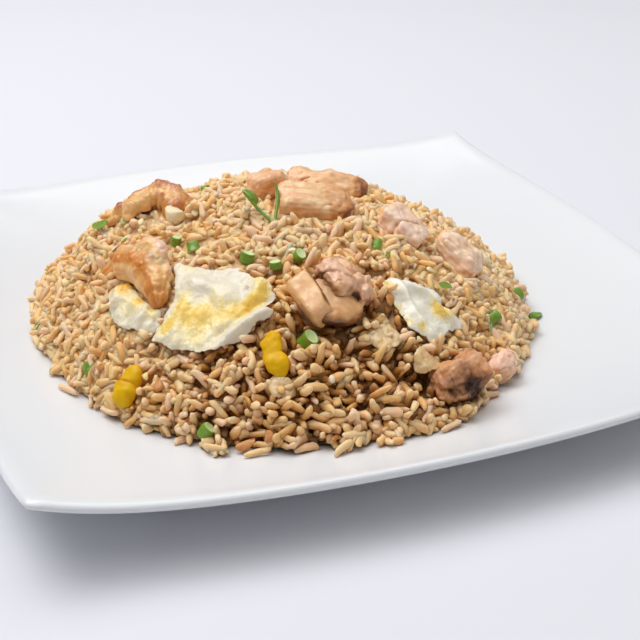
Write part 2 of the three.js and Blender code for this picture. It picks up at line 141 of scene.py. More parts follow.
def layered(material, colour, *coats):  # each coat: colour, where it lies, the range over which it fades in
    for over, share, *fade in coats:
        if fade:
            names = ("From Min", "From Max", "To Max")
            share = addNode(material, "ShaderNodeMapRange", 0, {"Value": share, **dict(zip(names, fade))})
        colour = addNode(material, "ShaderNodeMix", 2, {0: share, 6: colour, 7: over}, data_type="RGBA")
    return colour


def finishMaterial(material, bump=None, soft=None, coat=None, **sockets):
    if bump:  # pattern, strength, depth in mm
        sockets["Normal"] = addNode(material, "ShaderNodeBump", "Normal", {
            "Height": bump[0], "Strength": bump[1], "Distance": bump[2] * mm})
    if soft:  # how much light sinks in, how far each colour spreads, depth in mm
        sockets.update(Subsurface_Weight=soft[0], Subsurface_Radius=soft[1], Subsurface_Scale=soft[2] * mm)
    if coat:  # a film of oil or glaze: how much, roughness
        sockets.update(Coat_Weight=coat[0], Coat_Roughness=coat[1])
    shader = material.node_tree.nodes["Principled BSDF"]
    for name, value in sockets.items():
        plug(material, shader.inputs[name.replace("_", " ")], value)
    return material


def standAt(name, data, place, aim):  # a camera or a lamp, looking at its aim, in metres
    stood = bpy.data.objects.new(name, data)
    stood.location = place
    stood.rotation_mode = "QUATERNION"
    stood.rotation_quaternion = (Vector(aim) - Vector(place)).to_track_quat("-Z", "Y")
    bpy.context.scene.collection.objects.link(stood)
    return stood


cameraSpec = dict(azimuth=-19.58, elevation=27.87, distance=390, target=(-8, -37.1, 20), lens=64.7)


def placeCamera(spec):
    turn, rise = math.radians(spec["azimuth"]), math.radians(spec["elevation"])
    back = Vector((math.sin(turn) * math.cos(rise), -math.cos(turn) * math.cos(rise), math.sin(rise)))
    data = bpy.data.cameras.new("camera")
    data.lens = spec["lens"]
    data.clip_start, data.clip_end = 0.01, 50
    target = Vector(spec["target"])
    camera = standAt("camera", data, (target + back * spec["distance"]) * mm, target * mm)
    bpy.context.scene.camera = camera


placeCamera(cameraSpec)

lightSpec = dict(  # place and aim in metres, softbox across and along in metres, watts, colour
    key=((-0.45, 0.45, 1.15), (0, 0, 0.03), (0.9, 0.7), 6.9, "#FEFEFF"),
    top=((-0.15, 0.2, 1.4), (0, 0, 0), (2.4, 1.3), 17.8, "#FEFEFF"),
    front=((1.1, -0.9, 0.85), (0, 0, 0.03), (1.4, 0.8), 2.2, "#FFF8EE"),
)


def placeLights(spec):
    for name, (place, aim, size, power, colour) in spec.items():
        data = bpy.data.lights.new(name, "AREA")
        data.shape, data.energy = "RECTANGLE", power
        data.size, data.size_y = size
        data.color = linear(colour)[:3]
        standAt(name, data, place, aim)


placeLights(lightSpec)

worldSpec = dict(colour="#EEF0F6", strength=0.25)
world = bpy.data.worlds.new("studio")
world.use_nodes = True
world.node_tree.nodes["Background"].inputs["Color"].default_value = linear(worldSpec["colour"])
world.node_tree.nodes["Background"].inputs["Strength"].default_value = worldSpec["strength"]
bpy.context.scene.world = world
bpy.context.scene.view_settings.view_transform = "Standard"

tableSpec = dict(side=8.0, below=0.2, colour="#E2E3E8")  # side in metres


def makeTable(spec):
    bpy.ops.mesh.primitive_plane_add(size=spec["side"], location=(0, 0, -spec["below"] * mm))
    table = bpy.context.object
    table.name = "table"
    paper = newMaterial("paperSweep")[0]  # matt studio paper: no gloss, no pattern
    table.data.materials.append(finishMaterial(paper, Base_Color=spec["colour"], Roughness=0.9))


makeTable(tableSpec)
print("camera, lights and table placed")


plateSpec = dict(
    halfChord=115, sideBulge=12,  # middle to the line between two corners, and how far a side bows past it
    lipHeight=20, cornerRise=5.5, wellHeight=7.5, flatShare=0.42, curvePower=2.2,
    middleThickness=4.7, lipThickness=3, footShare=0.62, footWidth=5, footRecess=2.8,
    turns=288, topRings=28,
)
plateRound = plateSpec["halfChord"] + plateSpec["sideBulge"]


def plateReach(angle):  # how far the rim is that way, and how near that is to a corner, 0 to 1
    turn = angle - math.pi / 2 * np.round(angle / (math.pi / 2))
    slope = np.where(np.abs(turn) < 1e-9, 1e-9, np.tan(turn))
    chord, bulge = plateSpec["halfChord"], plateSpec["sideBulge"]
    root = np.sqrt(chord ** 2 + 4 * bulge * plateRound * slope ** 2)
    along = 2 * plateRound * slope / (chord + root)
    return chord * along / slope / np.cos(turn), np.abs(along)


def plateTop(share):
    climb = np.clip((share - plateSpec["flatShare"]) / (1 - plateSpec["flatShare"]), 0, 1.2)
    rise = plateSpec["lipHeight"] - plateSpec["wellHeight"]
    return plateSpec["wellHeight"] + rise * climb ** plateSpec["curvePower"]


def cornerLift(share, along):
    footEdge = (plateSpec["footShare"] + plateSpec["footWidth"] / 2 / plateRound) ** 5
    return plateSpec["cornerRise"] * along ** 6 * np.clip((share ** 5 - footEdge) / (1 - footEdge), 0, None)


def squareOff(points):  # a round dish into the square one
    share = np.hypot(points[:, 0], points[:, 1]) / plateRound
    reach, along = plateReach(np.arctan2(points[:, 1], points[:, 0]))
    stretch = (plateRound + (reach - plateRound) * share ** 2) / plateRound
    squared = points * np.stack([stretch, stretch, np.ones_like(stretch)], 1)
    squared[:, 2] += cornerLift(share, along)
    return squared


def plateHeight(x, y):  # the plate's upper face
    reach, along = plateReach(np.arctan2(y, x))
    distance = np.hypot(x, y)
    share = distance / plateRound
    for _ in range(6):
        share = distance / (plateRound + (reach - plateRound) * share ** 2)
    return plateTop(share) + cornerLift(share, along)


def plateProfile(spec):
    middle, lip = spec["middleThickness"], spec["lipThickness"]
    profile = [(0, spec["wellHeight"])]
    for share in np.linspace(0.1, 0.965, spec["topRings"]):
        profile.append((share * plateRound, float(plateTop(share))))
    for degree in range(84, -91, -12):  # the lip's round edge
        out, up = lip / 2 * math.cos(math.radians(degree)), lip / 2 * math.sin(math.radians(degree))
        profile.append((plateRound - lip / 2 + out, spec["lipHeight"] - lip / 2 + up))
    for share in np.linspace(0.96, 0.67, 8):
        profile.append((share * plateRound, float(plateTop(share) - middle - (lip - middle) * share)))
    foot, width, recess = spec["footShare"] * plateRound, spec["footWidth"], spec["footRecess"]
    footRing = ((0.62, 3.2), (0.5, 0.7), (0.4, 0.02), (-0.4, 0.02), (-0.5, 0.7), (-0.75, recess - 0.4),
                (-1.2, recess))
    profile += [(foot + width * across, height) for across, height in footRing]
    return profile + [(foot * 0.5, recess), (0, recess)]


def makePlate(spec):
    profile = plateProfile(spec)
    bpy.ops.mesh.primitive_plane_add(size=mm)
    plate = bpy.context.object
    bpy.ops.object.mode_set(mode="EDIT")
    bpy.ops.mesh.select_all(action="SELECT")
    bpy.ops.mesh.merge(type="CENTER")
    bpy.ops.transform.translate(value=(profile[0][0] * mm, 0, profile[0][1] * mm))
    for (x0, z0), (x1, z1) in zip(profile, profile[1:]):  # the section, drawn edge by edge
        step = ((x1 - x0) * mm, 0, (z1 - z0) * mm)
        bpy.ops.mesh.extrude_region_move(TRANSFORM_OT_translate={"value": step})
    bpy.ops.mesh.select_all(action="SELECT")
    bpy.ops.mesh.spin(steps=spec["turns"], angle=2 * math.pi, center=(0, 0, 0), axis=(0, 0, 1))
    bpy.ops.mesh.select_all(action="SELECT")
    bpy.ops.mesh.remove_doubles(threshold=0.002 * mm)
    bpy.ops.mesh.normals_make_consistent(inside=False)
    bpy.ops.object.mode_set(mode="OBJECT")
    movePoints(plate, squareOff(pointsOf(plate)))
    return plate


def glazedPorcelain():  # bisque under a clear fired glaze: white, even, with sharp soft-edged gloss
    material, waves = newMaterial("glazedPorcelain", [(25, 1, 0.5)])  # the glaze pools in long waves
    return finishMaterial(
        material, Base_Color=layered(material, "#E6E8EA", ("#E9EBEC", waves)), Roughness=0.28, IOR=1.5,
        bump=(waves, 0.04, 1), coat=(0.25, 0.1))


settle(makePlate(plateSpec), "porcelainPlate", glazedPorcelain(), "porcelain", "plate")
print("plate made")


heapSpec = dict(
    x=-13, y=-11, radius=91, oval=-2, baseHeight=7.5, height=48.5, crown=1.9, flank=0.8,
    footWaves=((3, 2.6, 0.52), (5, 0.9, 2.1), (9, 0.8, 0.3)),  # waves round the foot, their size and turn
    humps=((-66, 12, 7, 22), (-36, 18, -3, 11), (26, 4, -2, 22), (-20, -72, 1.5, 20)),  # x, y, rise, width
)


def heapReach(angle):
    reach = heapSpec["radius"] + heapSpec["oval"] * np.cos(2 * angle)
    for count, size, turn in heapSpec["footWaves"]:
        reach = reach + size * np.sin(count * angle + turn)
    return reach


def heapShare(x, y):
    away = np.hypot(x - heapSpec["x"], y - heapSpec["y"])
    return away / heapReach(np.arctan2(y - heapSpec["y"], x - heapSpec["x"]))


def heapHeight(x, y):
    share = np.clip(heapShare(x, y), 0, 1)
    dome = (1 - share ** heapSpec["crown"]) ** heapSpec["flank"]
    height = heapSpec["baseHeight"] + heapSpec["height"] * dome
    for humpX, humpY, rise, width in heapSpec["humps"]:
        near = ((x - humpX) ** 2 + (y - humpY) ** 2) / width ** 2
        height = height + rise * np.exp(-near) * np.minimum(1, dome * 4)
    return height


def onTop(x, y):
    return np.stack([x, y, heapHeight(x, y)], -1)


def heapNormal(x, y):
    step = 1.0
    slopeX = (heapHeight(x + step, y) - heapHeight(x - step, y)) / (2 * step)
    slopeY = (heapHeight(x, y + step) - heapHeight(x, y - step)) / (2 * step)
    normal = np.stack([-slopeX, -slopeY, np.ones_like(slopeX)], -1)
    return normal / np.linalg.norm(normal, axis=-1, keepdims=True)


coreSpec = dict(under=-0.2, frontUnder=2.7, inside=3.5, detail=7, relief=0.8, lump=2.4)


frontSpec = dict(start=-30, fade=45, right=0.62, left=0.5, leftFrom=45)  # the front starts later at the sides
looseSpec = dict(size=7.5, fineSize=4, broadSize=14, depth=1.3, frontDepth=0.9, broadDepth=1.1)


def frontness(x, y):  # the heap is looser towards its front, and painted shade makes it darker there, 0 to 1
    right = frontSpec["right"] * np.maximum(x, 0)
    left = frontSpec["left"] * np.maximum(-x - frontSpec["leftFrom"], 0)
    return ((frontSpec["start"] - y - right - left) / frontSpec["fade"]).clip(0, 1)


def looseness(points):  # clumps and hollows in the heap, in millimetres out of it
    depth = looseSpec["depth"] + looseSpec["frontDepth"] * frontness(points[:, 0], points[:, 1])
    clumps = noise(points, looseSpec["size"], 21) + 0.5 * noise(points, looseSpec["fineSize"], 22)
    return depth * clumps + looseSpec["broadDepth"] * noise(points, looseSpec["broadSize"], 23)


def makeCore(spec):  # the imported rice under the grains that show
    bpy.ops.mesh.primitive_ico_sphere_add(subdivisions=spec["detail"], radius=mm)
    core = bpy.context.object
    bpy.ops.object.mode_set(mode="EDIT")
    bpy.ops.mesh.select_all(action="SELECT")
    bpy.ops.mesh.bisect(plane_co=(0, 0, 0), plane_no=(0, 0, 1), use_fill=True, clear_inner=True)
    bpy.ops.object.mode_set(mode="OBJECT")
    ball = pointsOf(core)
    angle = np.arctan2(ball[:, 1], ball[:, 0])
    reach = np.hypot(ball[:, 0], ball[:, 1]) * (heapReach(angle) - spec["inside"])
    x, y = heapSpec["x"] + reach * np.cos(angle), heapSpec["y"] + reach * np.sin(angle)
    places = onTop(x, y)
    under = spec["under"] + (spec["frontUnder"] - spec["under"]) * frontness(x, y) - looseness(places)
    deep = noise(places, spec["lump"], 3) + 0.35 * noise(places, 1.1, 4)
    under -= spec["relief"] * deep
    placed = places - heapNormal(x, y) * under[:, None]
    isBase, bed = ball[:, 2] < 1e-4, plateHeight(x, y)
    placed[:, 2] = np.where(isBase, bed + 0.4, np.maximum(placed[:, 2], bed + 0.5))
    movePoints(core, placed)
    # painted shade: the core is coloured darker towards the front and in its hollows, lighter on its lumps
    paint(core, "deep", 0.6 * frontness(x, y) + 0.3 - 0.35 * deep - 0.12 * looseness(places))
    return core


def packedRice():  # wet cooked starch, stained with soy sauce and oil, with painted shade between the grains
    material, lumps, deep = newMaterial("packedRice", [(4, 3, 0.5)], "deep")
    # 965F20 follows the painted deep attribute: painted shade
    colour = layered(material, "#E9B876", ("#F6D8A2", lumps), ("#965F20", deep))
    return finishMaterial(material, Base_Color=colour, Roughness=0.45, soft=(0.4, (1, 0.8, 0.6), 1.3))


settle(makeCore(coreSpec), "riceCore", packedRice(), "rice", "rice_mound")
print("core made")


def heapFrame(x, y, heading=0, lift=0, pitch=0, roll=0):  # X along the heading, Z out of the heap, degrees
    out = heapNormal(x, y)
    turn = math.radians(heading)
    ahead = np.array([math.cos(turn), math.sin(turn), 0.0])
    ahead -= ahead @ out * out
    ahead /= np.linalg.norm(ahead)
    side = np.cross(out, ahead)
    rolled = Matrix.Rotation(math.radians(roll), 3, "X")
    tilt = np.array(rolled @ Matrix.Rotation(math.radians(-pitch), 3, "Y"))
    return np.stack([ahead, side, out], 1) @ tilt, onTop(x, y) + lift * out


def onHeap(points, *site, **turns):
    basis, place = heapFrame(*site, **turns)
    return points @ basis.T + place


def smoothLine(points, share, closedLoop=False):  # a soft curve through the points, at shares 0 to 1
    points = np.array(points, float)
    count = len(points)
    spot = share * count if closedLoop else np.clip(share, 0, 1) * (count - 1)
    index = np.floor(spot).astype(int)
    if not closedLoop:
        index = np.minimum(index, count - 2)
    part = (spot - index)[:, None]
    around = [index + step for step in (-1, 0, 1, 2)]
    around = [at % count if closedLoop else np.clip(at, 0, count - 1) for at in around]
    before, start, end, after = [points[at] for at in around]
    return 0.5 * (2 * start + (end - before) * part + (2 * before - 5 * start + 4 * end - after) * part ** 2
                  + (3 * start - before - 3 * end + after) * part ** 3)


def spots(places, at):  # soft round patches: each is x, y, size and strength
    total = np.zeros(len(at))
    for x, y, size, strength in places:
        total += strength * np.exp(-((at[:, 0] - x) ** 2 + (at[:, 1] - y) ** 2) / size ** 2)
    return total


def makeSheet(spec):  # a thick wavy sheet over the heap; its outline is measured from its middle
    bpy.ops.mesh.primitive_uv_sphere_add(segments=spec["around"], ring_count=spec["rings"], radius=mm)
    sheet = bpy.context.object
    ball = pointsOf(sheet)
    turn = np.arctan2(ball[:, 1], ball[:, 0]) / (2 * math.pi) % 1
    share = np.hypot(ball[:, 0], ball[:, 1]).clip(0, 1) ** 0.75
    rim = smoothLine(spec["outline"], turn, closedLoop=True)
    rimAt = np.stack([rim[:, 0], rim[:, 1], rim[:, 0] * 0], 1)
    rim *= 1 + spec["ragged"] * (noise(rimAt, 2.2, 5) + 0.5 * noise(rimAt, 0.9, 6))[:, None]
    flat = rim * share[:, None]
    at3 = np.stack([flat[:, 0], flat[:, 1], np.zeros(len(flat))], 1)
    rise = spec["lift"] + spec["waves"] * noise(at3, 6.5, spec["seed"])
    rise += 0.5 * spec["waves"] * noise(at3, 2.4, 7)
    rise += spec["ruffle"] * share ** 6 * noise(at3, 3.2, spec["seed"] + 1)
    thick = spec["thickness"] / 2 * (1 + 0.3 * noise(at3, 4, 8)) * (1 - 0.45 * share ** 3)
    for u, v, heading, height, width, length in spec["folds"]:
        turned = math.radians(heading)
        along = (flat[:, 0] - u) * math.cos(turned) + (flat[:, 1] - v) * math.sin(turned)
        across = (flat[:, 0] - u) * math.sin(turned) - (flat[:, 1] - v) * math.cos(turned)
        fold = height * np.exp(-(across / width) ** 2 - (along / length) ** 4)
        rise += fold
        thick += 0.3 * fold.clip(0)
    half = thick * np.sign(ball[:, 2]) * np.abs(ball[:, 2]) ** 0.5
    x, y = spec["x"] + flat[:, 0], spec["y"] + flat[:, 1]
    placed = onTop(x, y) + heapNormal(x, y) * (rise + thick + half)[:, None]
    movePoints(sheet, placed)
    relief = 0.12 * noise(placed, 1.5, 4) + 0.08 * noise(placed, 0.8, 6) + 0.04 * noise(placed, 0.45, 9)
    movePoints(sheet, placed + normalsOf(sheet) * relief[:, None])
    flatAt = placed - np.array([spec["x"], spec["y"], 0])
    paint(sheet, "yolk", spots(spec["yolk"], flatAt))
    paint(sheet, "toast", spots(spec["toast"], flatAt))
    return sheet


def friedEgg(name, low, high):  # white and broken yolk set together in oil: wet, uneven, toasted in spots
    material, specks, cloud, yolk, toast = newMaterial(name, [(0.9, 2, 0.7), (4, 2, 0.5)], "yolk toast")
    yellow, toasted = [addNode(material, "ShaderNodeMath", 0, {0: painted, 1: specks}, operation="ADD")
                       for painted in (yolk, toast)]
    colour = layered(
        material, low, (high, cloud), ("#FBE5A8", yellow, 0.62, 0.76), ("#F6CE62", yellow, 0.84, 0.98),
        ("#F4BC44", yellow, 1.2, 1.5), ("#A9702A", toasted, 0.85, 1.25))
    return finishMaterial(material, Base_Color=colour, Roughness=0.38, bump=(specks, 0.3, 0.3),
                          soft=(0.4, (1, 0.85, 0.6), 2), coat=(0.2, 0.2))


eggSheets = {  # outline in millimetres from x, y; folds are u, v, heading, height, width, length
    "eggLarge": dict(
        node="egg_large", x=-49, y=-54.5, thickness=1.5, lift=1.3, waves=0.6, ruffle=0.5, ragged=0.035,
        seed=2, around=320, rings=120,
        outline=[(18, -6.5), (16.8, 0.5), (13.8, 3), (10.5, 8.7), (5.6, 11.6), (1, 15.2), (-5, 21.5),
                 (-7, 17), (-8, 12.5), (-9.8, 9), (-13.2, 6.4), (-17.2, 3.2), (-18.6, 1), (-15.4, -3.2),
                 (-11, -7.8), (-5.7, -12.3), (0, -14.3), (5, -15), (10.3, -13.8), (15.6, -12.4),
                 (14.6, -9.6)],
        folds=[(5, -12.6, 8, 1.9, 1.9, 12), (6, -8.6, 8, -0.9, 1.2, 11), (1, 7, 130, 1.1, 3, 8),
               (14, -3, 60, 1.0, 2.2, 5), (-10, 1, 60, 0.7, 1.8, 8)],
        yolk=[(14.9, -4.3, 2.4, 0.6), (12.6, -7.2, 2.2, 0.6), (9.2, -7.4, 2.2, 0.8), (6, -6.6, 2.2, 0.7),
              (2.5, -6, 2.4, 0.4), (-8, 7, 2.6, 0.35), (-9.3, 3.8, 2.6, 0.35), (-8, 0, 2.8, 0.4),
              (-3.4, -1.5, 3.4, 0.25), (-15.4, 1, 2.6, 0.5), (-12.5, 1.5, 3, 0.2), (-2, -4, 5, 0.16),
              (-8, -5, 5, 0.18), (-3, 17, 4, 0.2), (15, 1, 3.4, 0.3), (-6, -5, 9, 0.16), (3, -4, 8, 0.08)],
        toast=[(10.2, -1.2, 1.6, 0.6), (15.5, -1.5, 1.2, 0.4)]),
    "eggRight": dict(
        node="egg_right", x=15.5, y=-70, thickness=1.6, lift=1.3, waves=0.7, ruffle=0.6, ragged=0.045, seed=5,
        around=260, rings=100,
        outline=[(12, 1.2), (7, 3.6), (6.6, 7), (3.8, 9), (-1.5, 9.4), (-5.5, 9.6), (-10.4, 8.8),
                 (-12.8, 6.4), (-11.6, 2), (-10.3, -2.5), (-9, -7), (-5.8, -9.8), (-3, -10.8), (0.6, -8.8),
                 (4, -5.8), (8, -3.4), (11.6, -1)],
        folds=[(-7.5, 3.5, 100, 1.2, 1.4, 6), (-2.5, 5.8, 160, 1.2, 1.3, 5), (2.5, 1.2, 130, 1.1, 1.6, 6),
               (-5, -6, 120, 1.0, 1.6, 5), (7.5, 1, 70, 0.8, 1.5, 3)],
        yolk=[(6.4, -0.6, 3, 0.6), (3.4, -1.6, 2.6, 0.4), (-11, 5, 2.2, 0.5), (-10.5, -2, 1.8, 0.4),
              (-9, -6.5, 1.8, 0.4), (-5, -9, 1.6, 0.4)],
        toast=[(-12.3, 3.5, 1.6, 0.5), (-10.6, -4.5, 2.2, 0.5)]),
    "eggLeft": dict(
        node="egg_left", x=-70, y=-36, thickness=1.8, lift=1.2, waves=1.7, ruffle=1.2, ragged=0.07, seed=9,
        around=220, rings=90,
        outline=[(7, -10), (4, -4), (2.2, 4), (1, 11), (-3, 14.5), (-6, 9), (-6.4, 1), (-4.6, -5), (-1, -10),
                 (3, -14)],
        folds=[(0, 0, 110, 1.2, 1.5, 6), (-3, 7, 70, 1.0, 1.4, 5), (2, -8, 40, 0.9, 1.2, 4)],
        yolk=[(-1.8, 7.6, 2, 1.6), (0.4, -3.4, 1.8, 0.5), (3.8, -9, 2.4, 0.35), (0, 0, 8, 0.25)],
        toast=[(-5, 3, 1.6, 0.3)]),
}

eggMaterial = friedEgg("friedEgg", "#E2D6BC", "#ECE3D0")
# painted light: a lighter copy of the egg for the right sheet, which faces away from the lamps
brightenedEgg = friedEgg("friedEggBrightened", "#F6EDD6", "#FEF8E8")
toppings = []
for name, spec in eggSheets.items():
    material = brightenedEgg if name == "eggRight" else eggMaterial
    toppings.append(settle(makeSheet(spec), name, material, "egg_white", spec["node"]))
print("fried egg made")


dieSpec = dict(  # what a cut piece has unless it says otherwise
    cuts=44, edge=4, taper=0, bow=0, lumps=0.5, seed=1,  # a higher edge is boxier
    slices=7, worn=0.8, hollows=(), clefts=(),
    fibre=0.6, rough=0.25, cracked=0.2, browned=0, searedAndShadedSide=(0, 0, 0), rosy=0.5,
)


def makeDie(changes):  # one cut piece: a box narrower at one end, with flat cuts and fibres along it
    spec = {**dieSpec, **changes}
    bpy.ops.mesh.primitive_cube_add(size=2 * mm)
    die = bpy.context.object
    bpy.ops.object.mode_set(mode="EDIT")
    bpy.ops.mesh.select_all(action="SELECT")
    bpy.ops.mesh.subdivide(number_cuts=spec["cuts"])
    bpy.ops.object.mode_set(mode="OBJECT")
    box = pointsOf(die)
    edge, seed = spec["edge"], spec["seed"]
    shape = box / (np.abs(box) ** edge).sum(1, keepdims=True) ** (1 / edge)
    points = shape * np.array(spec["size"]) / 2
    points[:, 1:] *= 1 - spec["taper"] * shape[:, :1]
    points[:, 2] += spec["bow"] * (shape[:, 0] ** 2 - 0.3)
    points += spec["lumps"] * np.stack([noise(points, 6, seed + axis) for axis in range(3)], 1)
    random, dark = np.random.default_rng(seed), np.zeros(len(points))
    for _ in range(spec["slices"]):  # flat faces left by the knife, with a narrow round edge
        way = random.normal(size=3) / np.array(spec["size"])
        way /= np.linalg.norm(way)
        past = points @ way - (points @ way).max() * random.uniform(0.72, 0.92)
        points -= np.outer(0.5 * (past + np.sqrt(past ** 2 + spec["worn"])), way)
    # hollows and clefts sink the surface, and the dark they gather is painted shade
    for *middle, size, depth in spec["hollows"]:
        away = ((shape - np.array(middle)) ** 2).sum(1) / size ** 2
        points *= 1 - depth * np.exp(-away)[:, None]
        dark += np.exp(-away * 1.3)
    for middle, slant, width, depth in spec["clefts"]:
        cut = np.exp(-((shape[:, 0] - middle - slant * shape[:, 1]) / width) ** 2)
        points[:, 1:] *= 1 - depth * cut[:, None]
        dark += 0.55 * cut
    movePoints(die, points)
    out = normalsOf(die)
    strand = noise(points / np.array([9, 1.2, 1.2]), 1.0, seed + 4)
    thread = noise(points / np.array([5, 0.5, 0.5]), 1.0, seed + 5)
    crack = (0.12 - np.abs(noise(points / np.array([6, 3.4, 3.4]), 1.0, seed + 6))).clip(0) / 0.12
    crack *= (noise(points, 7, seed + 9) > 0)
    rough = noise(points, 2.2, seed + 7) + 0.5 * noise(points, 1.1, seed)
    fibre = spec["fibre"]
    relief = fibre * (0.16 * strand + 0.06 * thread) + (spec["rough"] + 0.6 * dark) * rough
    points += out * (relief - spec["cracked"] * crack)[:, None]
    movePoints(die, onHeap(points, *spec["at"], **spec["turns"]))
    # painted shade: faces that point down are coloured browner
    shadeBelow = (0.45 - normalsOf(die)[:, 2]).clip(0)
    browned = spec["browned"] + 0.6 * shadeBelow + 0.5 * noise(points, 5, seed + 8) + 1.4 * dark
    # one side browner: partly real searing, partly painted shade
    browned += shape ** 3 @ np.array(spec["searedAndShadedSide"])
    # cracks are coloured browner as well: painted shade in them
    paint(die, "browned", browned + spec["cracked"] * crack)
    paint(die, "strand", 0.8 - 0.25 * fibre + fibre * (0.5 * strand + 0.4 * thread))
    paint(die, "rosy", spec["rosy"] + 0.6 * noise(points, 4, seed + 3))
    return die


def joinAll(parts):
    makeActive(parts[0])
    for part in parts:
        part.select_set(True)
    if len(parts) > 1:
        bpy.ops.object.join()
    return bpy.context.object


def friedChicken(name, pale, rosy, brown, dark, gloss=0.2):  # seared thigh: moist fibres, browned corners, and painted shade in the browned coats
    material, patches, fine, browned, strand, rosiness = newMaterial(
        name, [(5, 4, 0.6), (0.7, 2, 0.5)], "browned strand rosy")
    flesh = layered(material, pale, (rosy, rosiness))
    shaded = addNode(material, "ShaderNodeMix", 2, {0: 1, 6: flesh, 7: "#EACBA6"},
                     data_type="RGBA", blend_type="MULTIPLY")
    seared = addNode(material, "ShaderNodeMath", 0, {0: browned, 1: patches}, operation="ADD")
    colour = layered(material, shaded, (flesh, strand), (brown, seared, 0.7, 1.25), (dark, seared, 1.15, 1.6))
    return finishMaterial(material, Base_Color=colour, Roughness=0.38, Specular_IOR_Level=0.15 + 1.2 * gloss,
                          bump=(fine, 0.3, 0.25), soft=(0.18, (1, 0.5, 0.3), 1.6), coat=(gloss, 0.2))


chickenPieces = {  # each is one or more cut pieces: size, place on the heap, turns in degrees
    "chickenTop": [dict(
        size=(26, 17.5, 15.5), at=(-5, -22), turns=dict(heading=-14, lift=0.4, roll=10), edge=4, taper=0.1,
        lumps=1.1, seed=3, slices=8, worn=1.2, cracked=0.25, rough=0.4, fibre=0.9, rosy=0.4, browned=0.05,
        searedAndShadedSide=(0.7, 0, 0))],
    "chickenTopRear": [dict(
        size=(30, 16, 14), at=(8, -1), turns=dict(heading=-20, lift=-0.9, pitch=3), edge=4, taper=0.14,
        lumps=1.3, seed=11, worn=1.2, cracked=0.6, rough=0.5, fibre=0.8, browned=0.2,
        searedAndShadedSide=(0.9, 0, 0))],
    "chickenTopLeft": [dict(
        size=(15, 13, 13), at=(-17, -5), turns=dict(heading=30, lift=0.4), edge=4, seed=5, worn=1.5,
        rough=0.4, fibre=0.8, rosy=0.9)],
    "chickenCentre": [
        dict(size=(15.5, 8.4, 12), at=(-21.7, -67.5), turns=dict(heading=-76, lift=3.8, pitch=6, roll=16),
             edge=6, taper=0.04, lumps=0.5, slices=3, seed=8, worn=0.7, cracked=0, rough=0.2, fibre=0.35,
             rosy=0, browned=-0.3, searedAndShadedSide=(0, 1.5, 0)),
        dict(size=(18, 16, 9.5), at=(-15.8, -68.8), turns=dict(heading=-70, lift=2.2), edge=3.4, lumps=0.4,
             slices=2, seed=12, cracked=0, rough=0.2, fibre=0.25, rosy=0.2, browned=0.35,
             searedAndShadedSide=(0.2, -0.6, 0)),
        dict(size=(13, 8.5, 11.5), at=(-13.7, -63.6), turns=dict(heading=-70, lift=4.6, roll=-6), edge=6,
             lumps=0.7, slices=6, seed=21, worn=0.4, cracked=0.5, rough=0.6, rosy=0.9, browned=-0.2,
             searedAndShadedSide=(0.2, -0.9, 0), clefts=[(0.35, 0.6, 0.07, 0.06)]),
        dict(size=(11, 9, 9), at=(-9, -59.5), turns=dict(heading=-60, lift=2.4), edge=3, lumps=0.9, seed=25,
             cracked=0.3, rough=0.6, browned=0.3),
        dict(size=(11, 9.5, 9.5), at=(-6.5, -67), turns=dict(heading=20, lift=3), edge=3, lumps=1.4, seed=34,
             worn=0.3, slices=12, cracked=0.8, rough=0.9, rosy=1, browned=0.1, searedAndShadedSide=(-0.9, 0, 0),
             hollows=[(-0.75, -0.3, 0.6, 0.35, 0.25)])],
    "chickenRightUpper": [
        dict(size=(18, 12.5, 10.5), at=(23, -34), turns=dict(heading=-50, lift=1.8), edge=4.5, taper=0.15,
             lumps=1.1, seed=14, worn=0.8, cracked=0.5, rough=0.45, rosy=0.55, browned=-0.2,
             clefts=[(0.25, 0.4, 0.07, 0.12)])],
    "chickenRightLower": [dict(
        size=(19, 13.5, 10.5), at=(41, -39), turns=dict(heading=-45, lift=1.6), edge=4, taper=-0.1, lumps=0.8,
        seed=17, worn=1, cracked=0.3, rough=0.4, fibre=0.8, rosy=0.15, browned=-0.05)],
    "chickenFrontEnd": [dict(
        size=(11, 9, 9), at=(39.5, -77), turns=dict(heading=60, lift=2.2), edge=3.6, lumps=0.8, seed=2,
        rough=0.3, cracked=0.2, rosy=0.9, clefts=[(-0.3, 0.2, 0.07, 0.06), (0.25, 0.1, 0.07, 0.06)])],
    "chickenFront": [dict(
        size=(21, 14, 14), at=(18, -89), turns=dict(heading=25, lift=2.4), edge=3, lumps=1.8, seed=9,
        slices=4, cracked=0.3, rough=0.7, fibre=1, browned=0.25,
        hollows=[(-0.3, -0.55, 0.75, 0.42, 0.3), (0.25, -0.85, 0.25, 0.4, 0.2),
                 (-0.75, -0.4, 0.3, 0.32, 0.15)])],
}
chickenNodes = dict(
    chickenTop="chicken_top", chickenTopRear="chicken_top_rear", chickenTopLeft="chicken_top_left",
    chickenCentre="chicken_centre", chickenRightUpper="chicken_right_upper",
    chickenRightLower="chicken_right_lower", chickenFrontEnd="chicken_front_end",
    chickenFront="chicken_front",
)

paleChicken = friedChicken("friedChicken", "#FFE8D0", "#FDDAC6", "#DDA672", "#8A5527")
tanChicken = friedChicken("tanFriedChicken", "#FDDDB0", "#F7C79C", "#CF8E50", "#85492A")
glazedChicken = friedChicken("glazedChicken", "#F5C284", "#EFC4A4", "#C08246", "#5E3420", 0.4)
darkChicken = friedChicken("darkFriedChicken", "#E4B688", "#D8A482", "#8C5A34", "#40200E", 0.05)
chickenLooks = dict(chickenFront=darkChicken, chickenCentre=glazedChicken, chickenTop=tanChicken,
                    chickenTopRear=tanChicken, chickenTopLeft=tanChicken)
for name, dice in chickenPieces.items():
    piece = joinAll([makeDie(spec) for spec in dice])
    toppings.append(settle(piece, name, chickenLooks.get(name, paleChicken), "chicken", chickenNodes[name]))
print("chicken made")


